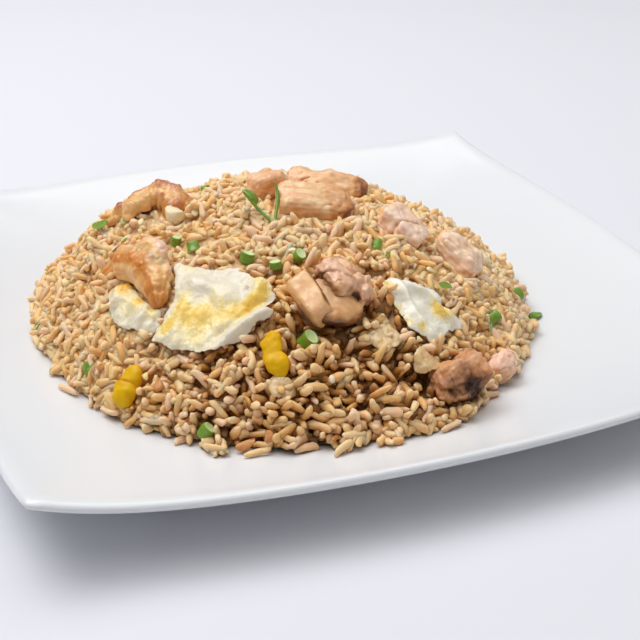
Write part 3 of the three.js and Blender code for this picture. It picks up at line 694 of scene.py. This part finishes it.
def makeSwept(spec):  # a body of changing thickness along a soft line
    bpy.ops.mesh.primitive_uv_sphere_add(segments=spec["around"], ring_count=spec["steps"], radius=mm)
    body = bpy.context.object
    ball = pointsOf(body)
    share = np.arccos(np.clip(ball[:, 2], -1, 1)) / math.pi
    angle = np.arctan2(-ball[:, 1], ball[:, 0])  # turned this way its faces look outwards
    tangent = smoothLine(spec["path"], share + 0.01) - smoothLine(spec["path"], share - 0.01)
    tangent /= np.linalg.norm(tangent, axis=1, keepdims=True)
    side = np.cross(np.array([0, 0, 1.0]), tangent)
    side /= np.linalg.norm(side, axis=1, keepdims=True)
    up = np.cross(tangent, side)
    ends = np.sin(share * math.pi).clip(0, 1) ** spec["blunt"]
    thick = smoothLine(np.array(spec["radius"])[:, None], share)[:, 0] * ends
    square = spec.get("square", 2)  # 2 is round, more is boxier
    thick = thick / (np.abs(np.cos(angle)) ** square + np.abs(np.sin(angle)) ** square) ** (1 / square)
    reach = side * np.cos(angle)[:, None] + up * np.sin(angle)[:, None] * spec["flat"]
    return body, smoothLine(spec["path"], share) + reach * thick[:, None], share, angle


def makePrawn(spec):
    body, places, share, angle = makeSwept(spec)
    ring = np.abs(np.sin(share * math.pi * spec["rings"])) ** 0.5
    middle = smoothLine(spec["path"], share)
    streak = noise(np.stack([share * 5, np.cos(angle) * 5, np.sin(angle) * 5], 1), 1.0, 4)
    places = middle + (places - middle) * (0.95 + spec["ringDepth"] * ring + 0.03 * streak)[:, None]
    placed = onHeap(places, spec["x"], spec["y"], **spec["turns"])
    movePoints(body, placed)
    rough = noise(placed, 4.6, 3) + 0.35 * noise(placed, 1.9, 2) + 0.2 * noise(placed, 0.9, 5)
    outer = 0.5 + 0.5 * np.cos(angle)  # 1 along the outside of the curl
    relief = (0.25 + spec["rough"] * (spec["roughAll"] + (1 - spec["roughAll"]) * outer)) * rough
    movePoints(body, placed + normalsOf(body) * relief[:, None])
    turned = (angle - math.radians(spec["bandAngle"]) + math.pi) % (2 * math.pi) - math.pi
    band = spec["band"] * np.exp(-(turned / math.radians(spec["bandWidth"])) ** 2)
    tip = 5 * (share - 0.78).clip(0)
    paint(body, "band", band + 0.4 * streak + spec["tailBand"] * (1 - share) + 0.12 * (1 - ring) + tip)
    paint(body, "rosy", outer + 0.3 * rough - 1.2 * (0.45 - share).clip(0) - 3 * (share - 0.66).clip(0))
    paint(body, "crust", spec["crust"] * (0.5 * rough + 0.6 * normalsOf(body)[:, 2]))
    return body


def cookedPrawn():  # peeled and fried in soy: half clear pink flesh, orange ridges, browned where it stood up
    material, mottle, band, rosy, crust = newMaterial("cookedPrawn", [(2.2, 4, 0.6)], "band rosy crust")
    pink = layered(material, "#EBAC8A", ("#FBE6D2", mottle))
    browned = addNode(material, "ShaderNodeMath", 0, {0: crust, 1: mottle}, operation="ADD")
    colour = layered(
        material, "#E8AC62", ("#F8D090", mottle), (pink, rosy, 0.62, 0.95), ("#D08028", band, 0.2, 1),
        ("#B4603A", browned, 0.8, 1.3))
    return finishMaterial(material, Base_Color=colour, Roughness=0.35, bump=(mottle, 0.25, 0.4),
                          soft=(0.3, (1, 0.45, 0.25), 2), coat=(0.2, 0.2))


prawns = {  # each is a curled body and the torn lobes on it
    "prawnFront": [dict(
        x=-64, y=-26.5, turns=dict(heading=-52, lift=0.8), flat=0.75, blunt=0.32, rings=4.5,
        path=[(-20, -4, -1), (-15.5, 1.6, 1), (-7.5, 2.6, 2.4), (3, 1.2, 3), (10.5, -4.2, 2), (15, -11, 0)],
        radius=(1.6, 3.3, 5.9, 7.2, 7.0, 5.8, 3.8), around=96, steps=160, ringDepth=0.07, rough=1.3,
        roughAll=0.45, band=0.9, bandAngle=105, bandWidth=22, tailBand=0.7, crust=0.1), dict(
        x=-64, y=-26.5, turns=dict(heading=-52, lift=2.4), flat=0.8, blunt=0.4, rings=3,
        path=[(-9, 4.5, 0.5), (-4, 6, 3), (2, 6.4, 3.6), (7, 3, 3), (9, -1, 2)],
        radius=(2.2, 3.6, 4.2, 3.6, 2.2), around=72, steps=90, ringDepth=0.1, rough=1.3, roughAll=1,
        band=0, bandAngle=90, bandWidth=40, tailBand=0, crust=0.35)],
    "prawnRear": [dict(
        x=-54, y=6, turns=dict(heading=-15, lift=0), flat=0.95, blunt=0.32, rings=4.5,
        path=[(-16, -2, -1), (-10, 1, 0), (-3, 4, 1), (4, 3, 1.5), (8, -3, 1), (6, -9, -1)],
        radius=(2.2, 3.6, 4.6, 5.8, 6.3, 6, 4.6), around=96, steps=140, ringDepth=0.05, rough=1.2, roughAll=1,
        band=0.2, bandAngle=90, bandWidth=60, tailBand=0.4, crust=0.95), dict(
        x=-54, y=6, turns=dict(heading=-15, lift=0), flat=0.9, blunt=0.4, rings=2.5,
        path=[(-9, -6.5, 0), (-6, -3, 2.4), (-1, -1.6, 4), (3, -2, 3.4)],
        radius=(2.6, 3.8, 3.8, 2.6), around=72, steps=80, ringDepth=0.1, rough=1.1, roughAll=1,
        band=0, bandAngle=90, bandWidth=60, tailBand=0, crust=0.5)],
}
prawnNodes = dict(prawnFront="prawn_front", prawnRear="prawn_rear")

prawnMaterial = cookedPrawn()
for name, lobes in prawns.items():
    piece = joinAll([makePrawn(spec) for spec in lobes])
    toppings.append(settle(piece, name, prawnMaterial, "prawn", prawnNodes[name]))
print("prawns made")


def makeCurd(spec):
    body, places, share, angle = makeSwept(spec)
    placed = onHeap(places, spec["x"], spec["y"], **spec["turns"])
    movePoints(body, placed)
    crease = np.exp(-((share - spec["crease"] + 0.05 * np.cos(angle)) / 0.035) ** 2)
    crease *= (0.3 + np.cos(angle - math.radians(spec["creaseSide"]))).clip(0, 1)
    relief = 0.6 * noise(placed, 3, spec["seed"]) + 0.18 * noise(placed, 1.3, 5) - 0.3 * crease
    movePoints(body, placed + normalsOf(body) * relief[:, None])
    # painted shade: the crease is coloured darker
    paint(body, "crease", crease)
    return body


def setYolk():  # yolk set in the pan: dense, smooth, saturated, moist, with painted shade in its crease
    material, mottle, crease = newMaterial("setYolk", [(2.5, 3, 0.5)], "crease")
    colour = layered(material, "#D89C00", ("#EEC206", mottle), ("#C98A05", crease))
    return finishMaterial(material, Base_Color=colour, Roughness=0.42, Specular_IOR_Level=0.2,
                          soft=(0.15, (1, 0.7, 0.1), 1))


def softenedOnion():  # onion sweated in oil: half clear, ribbed, tinted by the soy
    material, cloud, strand = newMaterial("softenedOnion", [(3, 3, 0.5)], "strand")
    colour = layered(material, "#DDB781", ("#F5E2B8", strand), ("#D9A964", cloud))
    return finishMaterial(material, Base_Color=colour, Roughness=0.28, soft=(0.35, (1, 0.8, 0.5), 2.5),
                          coat=(0.35, 0.15))


curds = {
    "yolkCurdFront": dict(
        node="yolk_curd_front", x=-36.5, y=-78, turns=dict(heading=80, lift=1.9), flat=0.7, blunt=0.3, seed=1,
        path=[(-7.4, 0, 0), (-5, 0, 0), (-2.5, 0.1, 0.3), (0, 0.7, 0.2), (2.5, 0.4, 0.3), (5, 0, 0),
              (7.4, 0.2, 0)],
        radius=(2.9, 3.7, 3.7, 3.0, 3.2, 3.9, 3.3), crease=0.4, creaseSide=-30, square=3,
        around=56, steps=72),
    "yolkCurdLeft": dict(
        node="yolk_curd_left", x=-77, y=-60, turns=dict(heading=38, lift=1.5), flat=0.75, blunt=0.3, seed=4,
        path=[(-6.4, -1.5, 0), (-2, 0.6, 0.2), (2, 0.5, 0.2), (6.4, -1, 0)],
        radius=(2.6, 3.6, 4.0, 3.5, 3.2, 3.7, 3.2), crease=0.6, creaseSide=60, square=2.6,
        around=56, steps=72),
}
yolkMaterial = setYolk()
for name, spec in curds.items():
    toppings.append(settle(makeCurd(spec), name, yolkMaterial, "yolk", spec["node"]))

ribs = [(middle, 0.1, 0.06, 0.07) for middle in (-0.6, -0.3, 0, 0.3, 0.6)]
onionCut = dict(edge=2.4, lumps=1.2, slices=3, cracked=0, clefts=ribs)
onions = {
    "onionFront": dict(onionCut, node="onion_front", size=(10.5, 9, 1.6), at=(-2, -80), bow=-2.6, taper=0.25,
                       turns=dict(heading=20, lift=2.4, roll=-12), seed=31),
    "onionLow": dict(onionCut, node="onion_low", size=(9, 7, 1.6), at=(-37, -86), bow=-2.2, taper=0.25,
                     turns=dict(heading=-30, lift=1.5), seed=32),
    "onionRight": dict(onionCut, node="onion_right", size=(10, 8.5, 1.8), at=(7, -87), bow=-2.2, taper=-0.2,
                       turns=dict(heading=30, lift=2.0, roll=-8), seed=33),
}
eggScraps = {
    "eggScrapTop": dict(node="egg_scrap_top", size=(11, 6, 6), at=(-48.5, -6), edge=2.4, lumps=1.4,
                        turns=dict(heading=-75, lift=1.6), seed=6, cracked=0.6),
    "eggScrapRight": dict(node="egg_scrap_right", size=(8, 6, 5), at=(55, -30), edge=2.4, lumps=1.0,
                          turns=dict(heading=-20, lift=1.6), seed=7, cracked=0.4),
}
onionMaterial = softenedOnion()
for name, spec in onions.items():
    toppings.append(settle(makeDie(spec), name, onionMaterial, "onion", spec["node"]))
for name, spec in eggScraps.items():
    scrap = makeDie(spec)
    paint(scrap, "yolk", 0.18)
    paint(scrap, "toast", 0)
    toppings.append(settle(scrap, name, eggMaterial, "egg_white", spec["node"]))
print("yolk, onion and scraps made")


def freshGreens():  # cut stems: waxy green skin, paler and wetter inside
    material, veins, pith = newMaterial("freshGreens", [(1.5, 3, 0.5)], "pith")
    colour = layered(material, "#4C7A10", ("#90B23A", veins), ("#D0E4A4", pith))
    return finishMaterial(material, Base_Color=colour, Roughness=0.32,
                          soft=(0.2, (1, 1, 0.4), 1), coat=(0.1, 0.2))


greensMaterial = freshGreens()
chiveSpec = dict(
    left=dict(path=[(-21.5, -31, 55), (-24.6, -26.6, 57.6), (-27, -23.4, 60.6), (-29, -20, 63.5)],
              radius=(0.6, 0.55, 0.55, 0.5), around=12, steps=48, blunt=0.12, flat=1),
    right=dict(path=[(-21.8, -31.4, 54.8), (-19.4, -27, 59), (-18, -23.4, 62.4), (-18.1, -21, 65.3)],
               radius=(0.6, 0.6, 0.55, 0.35), around=12, steps=48, blunt=0.12, flat=1),
    leaf=dict(path=[(-29.2, -20.2, 63.6), (-27.4, -20.6, 62.6), (-25.4, -21.4, 60.6), (-24.8, -22, 58.4)],
              radius=(0.8, 2.2, 2.9, 2.6, 1.0), around=28, steps=40, blunt=0.5, flat=0.28),
)


def makeChive(spec):
    parts = []
    for line in spec.values():
        body, places, share, _ = makeSwept(line)
        movePoints(body, places)
        paint(body, "pith", np.where(share < 0.12, 0.45, 0.02))
        parts.append(body)
    return joinAll(parts)


toppings.append(settle(makeChive(chiveSpec), "chiveStems", greensMaterial, "greens", "chive"))

springOnions = [  # x, y, heading, length, width, pitch, lift
    (-64, 4, 20, 4, 4.4, 30, 0.9), (-33, 13, 60, 4, 3.6, 70, 1.6), (-52, -19, 10, 3, 3.6, 50, 0.9),
    (-48, -27, 70, 3.6, 4.2, 20, 0.8), (-34, -42, 30, 3.4, 4.8, 55, 0.8), (-27, -49, 80, 2.4, 4.2, 65, 0.8),
    (-19, -48, -20, 2.8, 4.8, 60, 1.0), (-26, -77, 15, 5, 5.8, 60, 0.6), (-60, -84, 20, 4, 4.4, 20, 0.7),
    (-97, 0, 80, 2, 4.4, 75, 0.8), (-87, -42, 45, 4, 3, 20, 0.9), (9, -44, 60, 5, 3.4, 10, 0.5),
    (45, -60, 30, 4, 4.2, 45, 0.9), (66, -36, 10, 5.6, 5, 30, 1.2), (70, -43, 70, 5, 4.6, 60, 1.2),
]


def makeSlice(x, y, heading, length, width, pitch, lift):  # a hollow slice of stem
    bpy.ops.mesh.primitive_cylinder_add(vertices=28, radius=width / 2 * mm, depth=length * mm,
                                        rotation=(0, math.pi / 2, 0))
    ring = bpy.context.object
    bpy.ops.object.transform_apply(location=True, rotation=True, scale=True)
    for face in ring.data.polygons:
        face.select = abs(face.normal.x) > 0.9
    bpy.ops.object.mode_set(mode="EDIT")
    bpy.ops.mesh.select_mode(type="FACE")
    bpy.ops.mesh.inset(thickness=width * 0.05 * mm, depth=0)
    bpy.ops.mesh.inset(thickness=width * 0.11 * mm, depth=0.1 * mm)
    bpy.ops.mesh.inset(thickness=width * 0.08 * mm, depth=-length * 0.1 * mm)
    bpy.ops.object.mode_set(mode="OBJECT")
    rounding = ring.modifiers.new("Rounding", "SUBSURF")
    rounding.levels = rounding.render_levels = 2
    bpy.ops.object.modifier_apply(modifier=rounding.name)
    points = pointsOf(ring)
    away = np.hypot(points[:, 1], points[:, 2])
    pith = np.clip((width * 0.46 - away) / (width * 0.08), 0, 1)
    points[:, 2] *= 0.8 + 0.02 * (heading % 7)
    points += normalsOf(ring) * (0.3 * noise(points + x, 2.2, 3))[:, None]
    movePoints(ring, onHeap(points, x, y, heading=heading, lift=lift - 0.2, pitch=pitch))
    paint(ring, "pith", pith)
    return ring


leafBits = {  # thin curved bits of the green leaf: place, size, heading, lift
    "leafOnEgg": ((24, -60.5), (6, 3.4, 0.7), 10, 3.4), "bitOnEgg": ((9.4, -65.6), (2.6, 2, 0.7), 70, 3.6),
    "leafDark": ((73, -42), (7, 4.2, 0.8), 40, 2.4), "leafOlive": ((9.6, -50), (4, 2.4, 0.7), 80, 2.0),
    "leafLeft": ((-85, -46), (3.4, 1.8, 0.7), 10, 1.8), "leafTop": ((-31, 20), (5, 2.6, 0.7), 75, 2.0),
    "leafEdge": ((-70, 8), (8.6, 4.8, 0.9), 308, 3), "leafStrand": ((-65.6, -7.3), (3.2, 2, 0.8), 5, 2.6),
    "leafFar": ((-53, 16), (2.6, 1.6, 0.7), 50, 2.2), "leafRight": ((39.8, -66), (4.6, 3, 0.8), 80, 2.0),
}


def makeLeafBit(place, size, heading, lift):
    turns = dict(heading=heading, lift=lift, roll=heading % 30)
    bit = makeDie(dict(size=size, at=place, turns=turns, edge=2.3, bow=-0.5, lumps=0.4, seed=int(heading),
                       cuts=12, cracked=0))
    paint(bit, "pith", 0.04)
    return bit


slices, leaves = [makeSlice(*site) for site in springOnions], [makeLeafBit(*bit) for bit in leafBits.values()]
greens = joinAll(slices + leaves)
toppings.append(settle(greens, "springOnion", greensMaterial, "greens"))


def crispBits():  # scraps of onion and shell fried dark in the soy: matt, caramel brown
    material, burn = newMaterial("crispBits", [(1.6, 3, 0.5)])
    return finishMaterial(material, Base_Color=layered(material, "#B86A2E", ("#E6A862", burn)), Roughness=0.4)


eggCrumbs = (  # x, y, length, width, heading
    (-67.7, -4.5, 7.5, 2.2, 20), (-86.4, 3.7, 4, 2.6, 60), (24.1, -51.9, 4.5, 2.8, 10),
    (19, -50.5, 3, 2, 70), (-52.4, -29.2, 3.2, 2.6, 30), (-33.5, -91.2, 3, 2, 15),
    (-23.3, -88.1, 3.4, 2.2, 80), (8.3, -80.4, 3.6, 2.4, 5), (-58.9, -75.9, 3, 2.2, 40),
    (-21.1, -45.6, 2.6, 2, 0), (0.2, -41.6, 3, 2, 50), (-91.6, -20, 3.2, 2, 70), (-60, -2, 3.4, 2.4, 35),
    (-43, -9, 4, 2.6, 65), (-44, -1, 3, 2.4, 20), (58, -34, 3.4, 2.4, 25), (34.4, -71, 2.6, 2, 45),
    (-72, -61, 3, 2.2, 10), (-10, -97, 2.6, 1.8, 0), (60, -5, 3, 2, 30),
)
brownBits = (
    (-68.3, -66.1, 4.4, 3.2, 30), (-82.5, -47.7, 4, 2.6, 10), (-4.9, -57, 5.4, 3.2, 80),
    (-50.3, -92.4, 6.5, 3, 15), (-44, -94, 4.5, 2.6, 70), (-25.3, -100.3, 2.6, 1.8, 0),
    (3.2, -68.5, 6, 4, 60), (2, -63.5, 4, 3, 20), (-69.7, -58.2, 2, 1.4, 40), (-30, -12, 2.2, 1.6, 10),
    (14, -60, 2.4, 1.6, 70), (-40, -36, 2, 1.4, 0), (-75, -20, 2.2, 1.6, 25), (28, -62, 2.4, 1.8, 15),
    (-12, -86, 2.2, 1.8, 50), (44, -54, 2.4, 1.6, 35), (-58, -66, 2, 1.6, 0), (-5, -92, 2.4, 1.6, 10),
    (10, 30, 2.6, 1.8, 30), (-50, 40, 2.6, 1.8, 0), (40, 10, 2.4, 1.6, 60), (-30, 55, 2.6, 1.8, 30),
)


def makeCrumbs(sites, seed, high):
    parts = []
    for index, (x, y, length, width, heading) in enumerate(sites):
        parts.append(makeDie(dict(
            size=(length, width, 0.7 * width), at=(x, y), edge=2.4, lumps=0.9, slices=5, seed=seed + index,
            turns=dict(heading=heading, lift=1.8, pitch=index % 5 * 4 - 8), cuts=10, cracked=0, rough=0.3)))
    crumbs = joinAll(parts)
    paint(crumbs, "yolk", high * (0.5 + 0.5 * noise(pointsOf(crumbs), 9, seed)))
    paint(crumbs, "toast", 0)
    return crumbs


toppings.append(settle(makeCrumbs(eggCrumbs, 60, 0.5), "eggCrumbs", eggMaterial, "egg_white"))
toppings.append(settle(makeCrumbs(brownBits, 90, 0), "brownBits", crispBits(), "chicken"))
print("greens made")


grainSpec = dict(
    length=7.5, width=2.5, thickness=2.15, sides=7, rings=6,
    shapes=24, bend=0.8, blunt=(2.8, 6), lean=0.2, dents=0.4, wobble=0.42,
    balls=(-0.72, -0.24, 0.24, 0.72),  # a grain is tried for room as balls along its half length
    squash=0.39, steepSquash=0.85,  # how near two grains may come, as a share of their width
    tilts=(-1, -0.5, 0, 0.5, 1), steepTilts=(40, 75),  # shares of the layer's tilt, degrees for steep ones
    tiltSpread=6, frontSteep=0.15,  # degrees, and how many more stand steep at the front
    clumpSize=13, clumped=0.6, clumpSpread=0.6,  # how far grains lie alike, the share that does, how loosely
    longest=1.12, shorter=0.32, broken=0.25, brokenSizes=(0.4, 0.8),  # shares of the length
    lowFrom=0.82, overPlate=0.46, nudge=0.7,  # nudge lifts a grain that would cut into a topping
)


def makeGrainShapes(spec):  # plump, bent and broken grains: points along X, one long, and faces
    random = np.random.default_rng(5)
    shapes = []
    for seed in range(spec["shapes"]):
        bend, lean = random.uniform(-1, 1) * spec["bend"], random.uniform(-1, 1) * spec["lean"]
        blunt = random.uniform(*spec["blunt"])
        bpy.ops.mesh.primitive_uv_sphere_add(segments=spec["sides"], ring_count=spec["rings"],
                                             radius=mm, rotation=(0, math.pi / 2, 0))
        grain = bpy.context.object
        bpy.ops.object.transform_apply(location=True, rotation=True, scale=True)
        ball = pointsOf(grain)
        along = np.sign(ball[:, 0]) * np.abs(ball[:, 0]) ** 0.8
        thick = (1 - np.abs(along) ** blunt).clip(0) ** 0.5 * (1 + lean * along)
        around = np.hypot(ball[:, 1], ball[:, 2]).clip(1e-9)
        points = np.stack([along * spec["length"] / 2,
                           ball[:, 1] / around * thick * spec["width"] / 2 + bend * (along ** 2 - 0.4),
                           ball[:, 2] / around * thick * spec["thickness"] / 2], 1)
        points += spec["dents"] * np.stack([noise(points, 1.8, seed + axis) for axis in (20, 40, 60)], 1)
        shapes.append((points, [tuple(face.vertices) for face in grain.data.polygons], along))
        bpy.data.objects.remove(grain)
    return shapes


def newPile():  # balls already placed, found by the square of the table that they stand over
    return dict(square=6.5, squares={}, balls=np.zeros((90000, 3)), count=0)


def addToPile(pile, balls):
    for ball in balls:
        index = pile["count"]
        pile["balls"][index] = ball
        pile["count"] += 1
        key = (int(ball[0] // pile["square"]), int(ball[1] // pile["square"]))
        pile["squares"].setdefault(key, []).append(index)


def nearInPile(pile, x, y):
    column, row = int(x // pile["square"]), int(y // pile["square"])
    found = []
    for i, j in itertools.product((-1, 0, 1), repeat=2):
        found += pile["squares"].get((column + i, row + j), [])
    return pile["balls"][found]


def restingLifts(rows, out, near, apart):  # how far out each row of balls must move to rest on the others
    if len(near) == 0:
        return np.full(len(rows), -99.0)
    gaps = near[None, None, :, :] - rows[:, :, None, :]
    along = gaps @ out
    across = (gaps ** 2).sum(3) - along ** 2
    return np.where(across < apart ** 2, along + np.sqrt((apart ** 2 - across).clip(0)), -99.0).max((1, 2))


def treeOf(pieces):
    points, faces, start = [], [], 0
    for piece in pieces:
        points += [tuple(v.co) for v in piece.data.vertices]
        faces += [tuple(start + i for i in face.vertices) for face in piece.data.polygons]
        start = len(points)
    return BVHTree.FromPolygons(points, faces)


def isClear(tree, balls, need):
    for ball in balls:
        at = Vector(ball * mm)
        spot, normal, _, away = tree.find_nearest(at, 3 * need * mm)
        if spot is not None and (away < need * mm or (at - spot).dot(normal) < 0):
            return False
    return True


def drawSpots(layer, random):  # where a layer's grains are dropped: place, way out, heading, size
    count = layer["tries"]
    angle = random.uniform(0, 2 * math.pi, count)
    share = layer["reach"] * np.sin(math.pi / 2 * random.random(count) ** 0.5)
    if layer["ring"]:
        share = random.uniform(layer["ring"], layer["reach"], count)
    reach = share * heapReach(angle)
    x, y = heapSpec["x"] + reach * np.cos(angle), heapSpec["y"] + reach * np.sin(angle)
    bed = plateHeight(x, y)
    spot = np.stack([x, y, np.maximum(heapHeight(x, y), bed)], 1)
    out = np.where((spot[:, 2] > bed + 1)[:, None], heapNormal(x, y), np.array([0, 0, 1.0]))
    spread = random.normal(0, grainSpec["clumpSpread"], count)
    clump = math.pi * noise(spot, grainSpec["clumpSize"], 31) + spread
    isClumped = random.random(count) < grainSpec["clumped"]
    heading = np.where(isClumped, clump, random.uniform(0, 2 * math.pi, count))
    ahead = np.stack([np.cos(heading), np.sin(heading), 0 * heading], 1)
    ahead -= (ahead * out).sum(1, keepdims=True) * out
    ahead /= np.linalg.norm(ahead, axis=1, keepdims=True)
    size = grainSpec["longest"] - grainSpec["shorter"] * random.random(count) ** 2
    isBroken = random.random(count) < grainSpec["broken"]
    size = np.where(isBroken, random.uniform(*grainSpec["brokenSizes"], count), size)
    return zip(spot, out, ahead, size, looseness(spot), share > grainSpec["lowFrom"], frontness(x, y))


def packGrains(layers, tree):  # grains dropped one by one onto the heap, in layers
    random = np.random.default_rng(7)
    pile, placed = newPile(), []
    half, width = grainSpec["length"] / 2, grainSpec["width"]
    for layer in layers:
        before = len(placed)
        for spot, out, ahead, size, loose, isLow, front in drawSpots(layer, random):
            if random.random() < layer["gaps"] * front:
                continue
            steep = random.random() < layer["steep"] + grainSpec["frontSteep"] * front
            spread = random.uniform(-grainSpec["tiltSpread"], grainSpec["tiltSpread"])
            tilts = np.radians(np.array(grainSpec["tilts"]) * layer["tilt"] + spread)
            if steep:
                tilts = np.radians(random.uniform(*grainSpec["steepTilts"], 3) * random.choice((-1, 1), 3))
            along = np.outer(np.cos(tilts), ahead) + np.outer(np.sin(tilts), out)
            rows = spot + np.array(grainSpec["balls"])[None, :, None] * along[:, None, :] * half * size
            near = nearInPile(pile, spot[0], spot[1])
            apart = width * grainSpec["squash"] * (grainSpec["steepSquash"] if steep else 1)
            lifts = restingLifts(rows, out, near, apart)
            lifts = np.maximum(lifts, layer["floor"] + loose - layer["sink"] * front)
            if isLow:
                bed = plateHeight(rows[:, :, 0], rows[:, :, 1])
                gaps = bed + width * grainSpec["overPlate"] - rows[:, :, 2]
                lifts = np.maximum(lifts, gaps.max(1) / max(out[2], 0.45))
            best = int(np.argmin(lifts))
            lift, balls = lifts[best], rows[best] + lifts[best] * out
            if lift > layer["ceiling"] + loose - layer["sink"] * front:
                continue
            for _ in range(2):
                if isClear(tree, balls, layer["clear"]):
                    addToPile(pile, balls)
                    placed.append((balls.mean(0), along[best], out, size, lift - loose))
                    break
                balls, lift = balls + grainSpec["nudge"] * out, lift + grainSpec["nudge"]
        print("grain layer:", len(placed) - before)
    return placed


def joinCopies(name, shapes, copies):  # one mesh from many placed copies: shape, basis, place, tone
    points, faces, tones, tips, start = [], [], [], [], 0
    for shape, basis, place, tone in copies:
        base, sides, along = shapes[shape]
        offsets = base @ basis.T
        points.append(offsets + place)
        faces += [tuple(start + i for i in side) for side in sides]
        shade = 0.25 + 0.25 * frontness(*place[:2])  # painted shade: each grain is coloured darker on its lower side and lighter on its upper side, more so at the front
        tones.append(tone - shade * (offsets[:, 2] / 1.1).clip(-1.2, 1.2))
        tips.append(np.abs(along))
        start += len(base)
    mesh = bpy.data.meshes.new(name)
    points = np.concatenate(points)
    wobble = np.stack([noise(points, 1.9, seed) for seed in (51, 52, 53)], 1)
    mesh.from_pydata((points + grainSpec["wobble"] * wobble) * mm, [], faces)
    obj = bpy.data.objects.new(name, mesh)
    bpy.context.scene.collection.objects.link(obj)
    paint(obj, "tone", np.concatenate(tones))
    paint(obj, "tip", np.concatenate(tips))
    return obj


def friedRice(name, light, dark):  # long grain tossed in oil and soy: soft, half clear, unevenly stained, and darkened by painted shade
    material, stain, fine, tone, tip = newMaterial(name, [(3, 3, 0.5), (0.7, 2, 0.5)], "tone tip")
    # the random stain adds to the painted per-grain colour, which holds painted shade; #845418 lies where
    # both are darkest
    soy = addNode(material, "ShaderNodeMath", 0, {0: tone, 1: stain}, operation="ADD")
    colour = layered(
        material, light, (dark, soy, 0.55, 1.5), ("#845418", soy, 1.3, 2), ("#FBF0DA", tip, 0.6, 1, 0.15))
    return finishMaterial(material, Base_Color=colour, Roughness=0.5, Specular_IOR_Level=0.22,
                          bump=(fine, 0.35, 0.25), soft=(0.7, (1, 0.8, 0.6), 2))


layerColumns = ("tries", "reach", "ring", "floor", "ceiling", "tilt", "steep", "clear", "gaps", "sink")
# floor and ceiling are millimetres out of the heap; at its front a layer has gaps and sinks
grainLayers = [dict(zip(layerColumns, row)) for row in (
    (14000, 0.985, 0, -1.1, -0.3, 18, 0.08, 0.6, 0, 1.4),
    (15000, 0.985, 0, -0.6, 0.4, 28, 0.18, 0.7, 0.8, 0.3),
    (6000, 0.99, 0, 0.1, 1.1, 34, 0.26, 0.7, 0.4, 0),
    (500, 0.99, 0, 0.8, 2.2, 36, 0.3, 0.7, 0, 0),
    (500, 1.01, 0.94, -0.5, 1.6, 14, 0.05, 0.8, 0, 0),
)]
grainKinds = (  # share of the grains, lighter and darker colour
    ("ricePale", 0.22, "#F5D09E", "#E4B374"),
    ("ricePink", 0.2, "#F4CCA6", "#E2AD7A"),
    ("riceTan", 0.28, "#F4CA96", "#DDA360"),
    ("riceGolden", 0.18, "#F1C68A", "#D89D50"),
    ("riceBrowned", 0.12, "#EBBA7A", "#CE9146"),
)


# uneven is a random stain per grain; deeper, front and buried darken grains that lie deep, buried or at the
# front, and loose lightens those on clumps: painted shade; right lightens grains on the right: painted light
stainAndShadeSpec = dict(
    uneven=0.3, deeper=0.5, least=-0.1, front=0.32, buried=1.0, loose=0.12, right=0.4,
    deepest=2.2, deepOver=4, buriedTop=0.2, buriedOver=1.4, rightOver=50,  # millimetres
)


def makeGrains(grains, kinds):
    random = np.random.default_rng(11)
    shapes = makeGrainShapes(grainSpec)
    places = np.array([grain[0] for grain in grains])
    stained = 0.7 * noise(places, 10, 41) + 0.3 * noise(places, 4, 42)  # the sauce went in unevenly
    stained = stained + random.normal(0, 0.35, len(grains))
    rank = np.argsort(np.argsort(stained)) / len(grains)
    chosen = np.searchsorted(np.cumsum([kind[1] for kind in kinds])[:-1], rank)
    copies = [[] for _ in kinds]
    for (place, along, out, size, lift), kind, loose in zip(grains, chosen, looseness(places)):
        side = np.cross(out, along)
        side /= np.linalg.norm(side)
        up = np.cross(along, side)
        roll, plump = random.uniform(0, 2 * math.pi), random.uniform(0.82, 1.18)
        first = math.cos(roll) * side + math.sin(roll) * up
        basis = np.stack([along * size, first * plump, np.cross(along, first) * plump], 1)
        # painted shade: grains that lie deep, buried or at the front get a darker colour
        deep, buried, right = np.clip((
            1 - (lift + stainAndShadeSpec["deepest"]) / stainAndShadeSpec["deepOver"],
            (stainAndShadeSpec["buriedTop"] - lift) / stainAndShadeSpec["buriedOver"],
            place[0] / stainAndShadeSpec["rightOver"]), 0, 1)
        tone = stainAndShadeSpec["uneven"] * random.random() + stainAndShadeSpec["deeper"] * deep + stainAndShadeSpec["least"]
        inFront = stainAndShadeSpec["front"] + stainAndShadeSpec["buried"] * buried - stainAndShadeSpec["loose"] * loose
        tone += frontness(*place[:2]) * inFront - stainAndShadeSpec["right"] * right  # painted light: grains on the right are coloured lighter
        copies[kind].append((int(random.integers(len(shapes))), basis, place, tone))
    for (name, _, light, dark), found in zip(kinds, copies):
        settle(joinCopies(name, shapes, found), name, friedRice(name, light, dark), "rice")
        print(name, len(found))


obstacles = [piece for piece in toppings if not piece.name.startswith("onion")]  # grains may lie on the onion
makeGrains(packGrains(grainLayers, treeOf(obstacles)), grainKinds)
print("grains made")
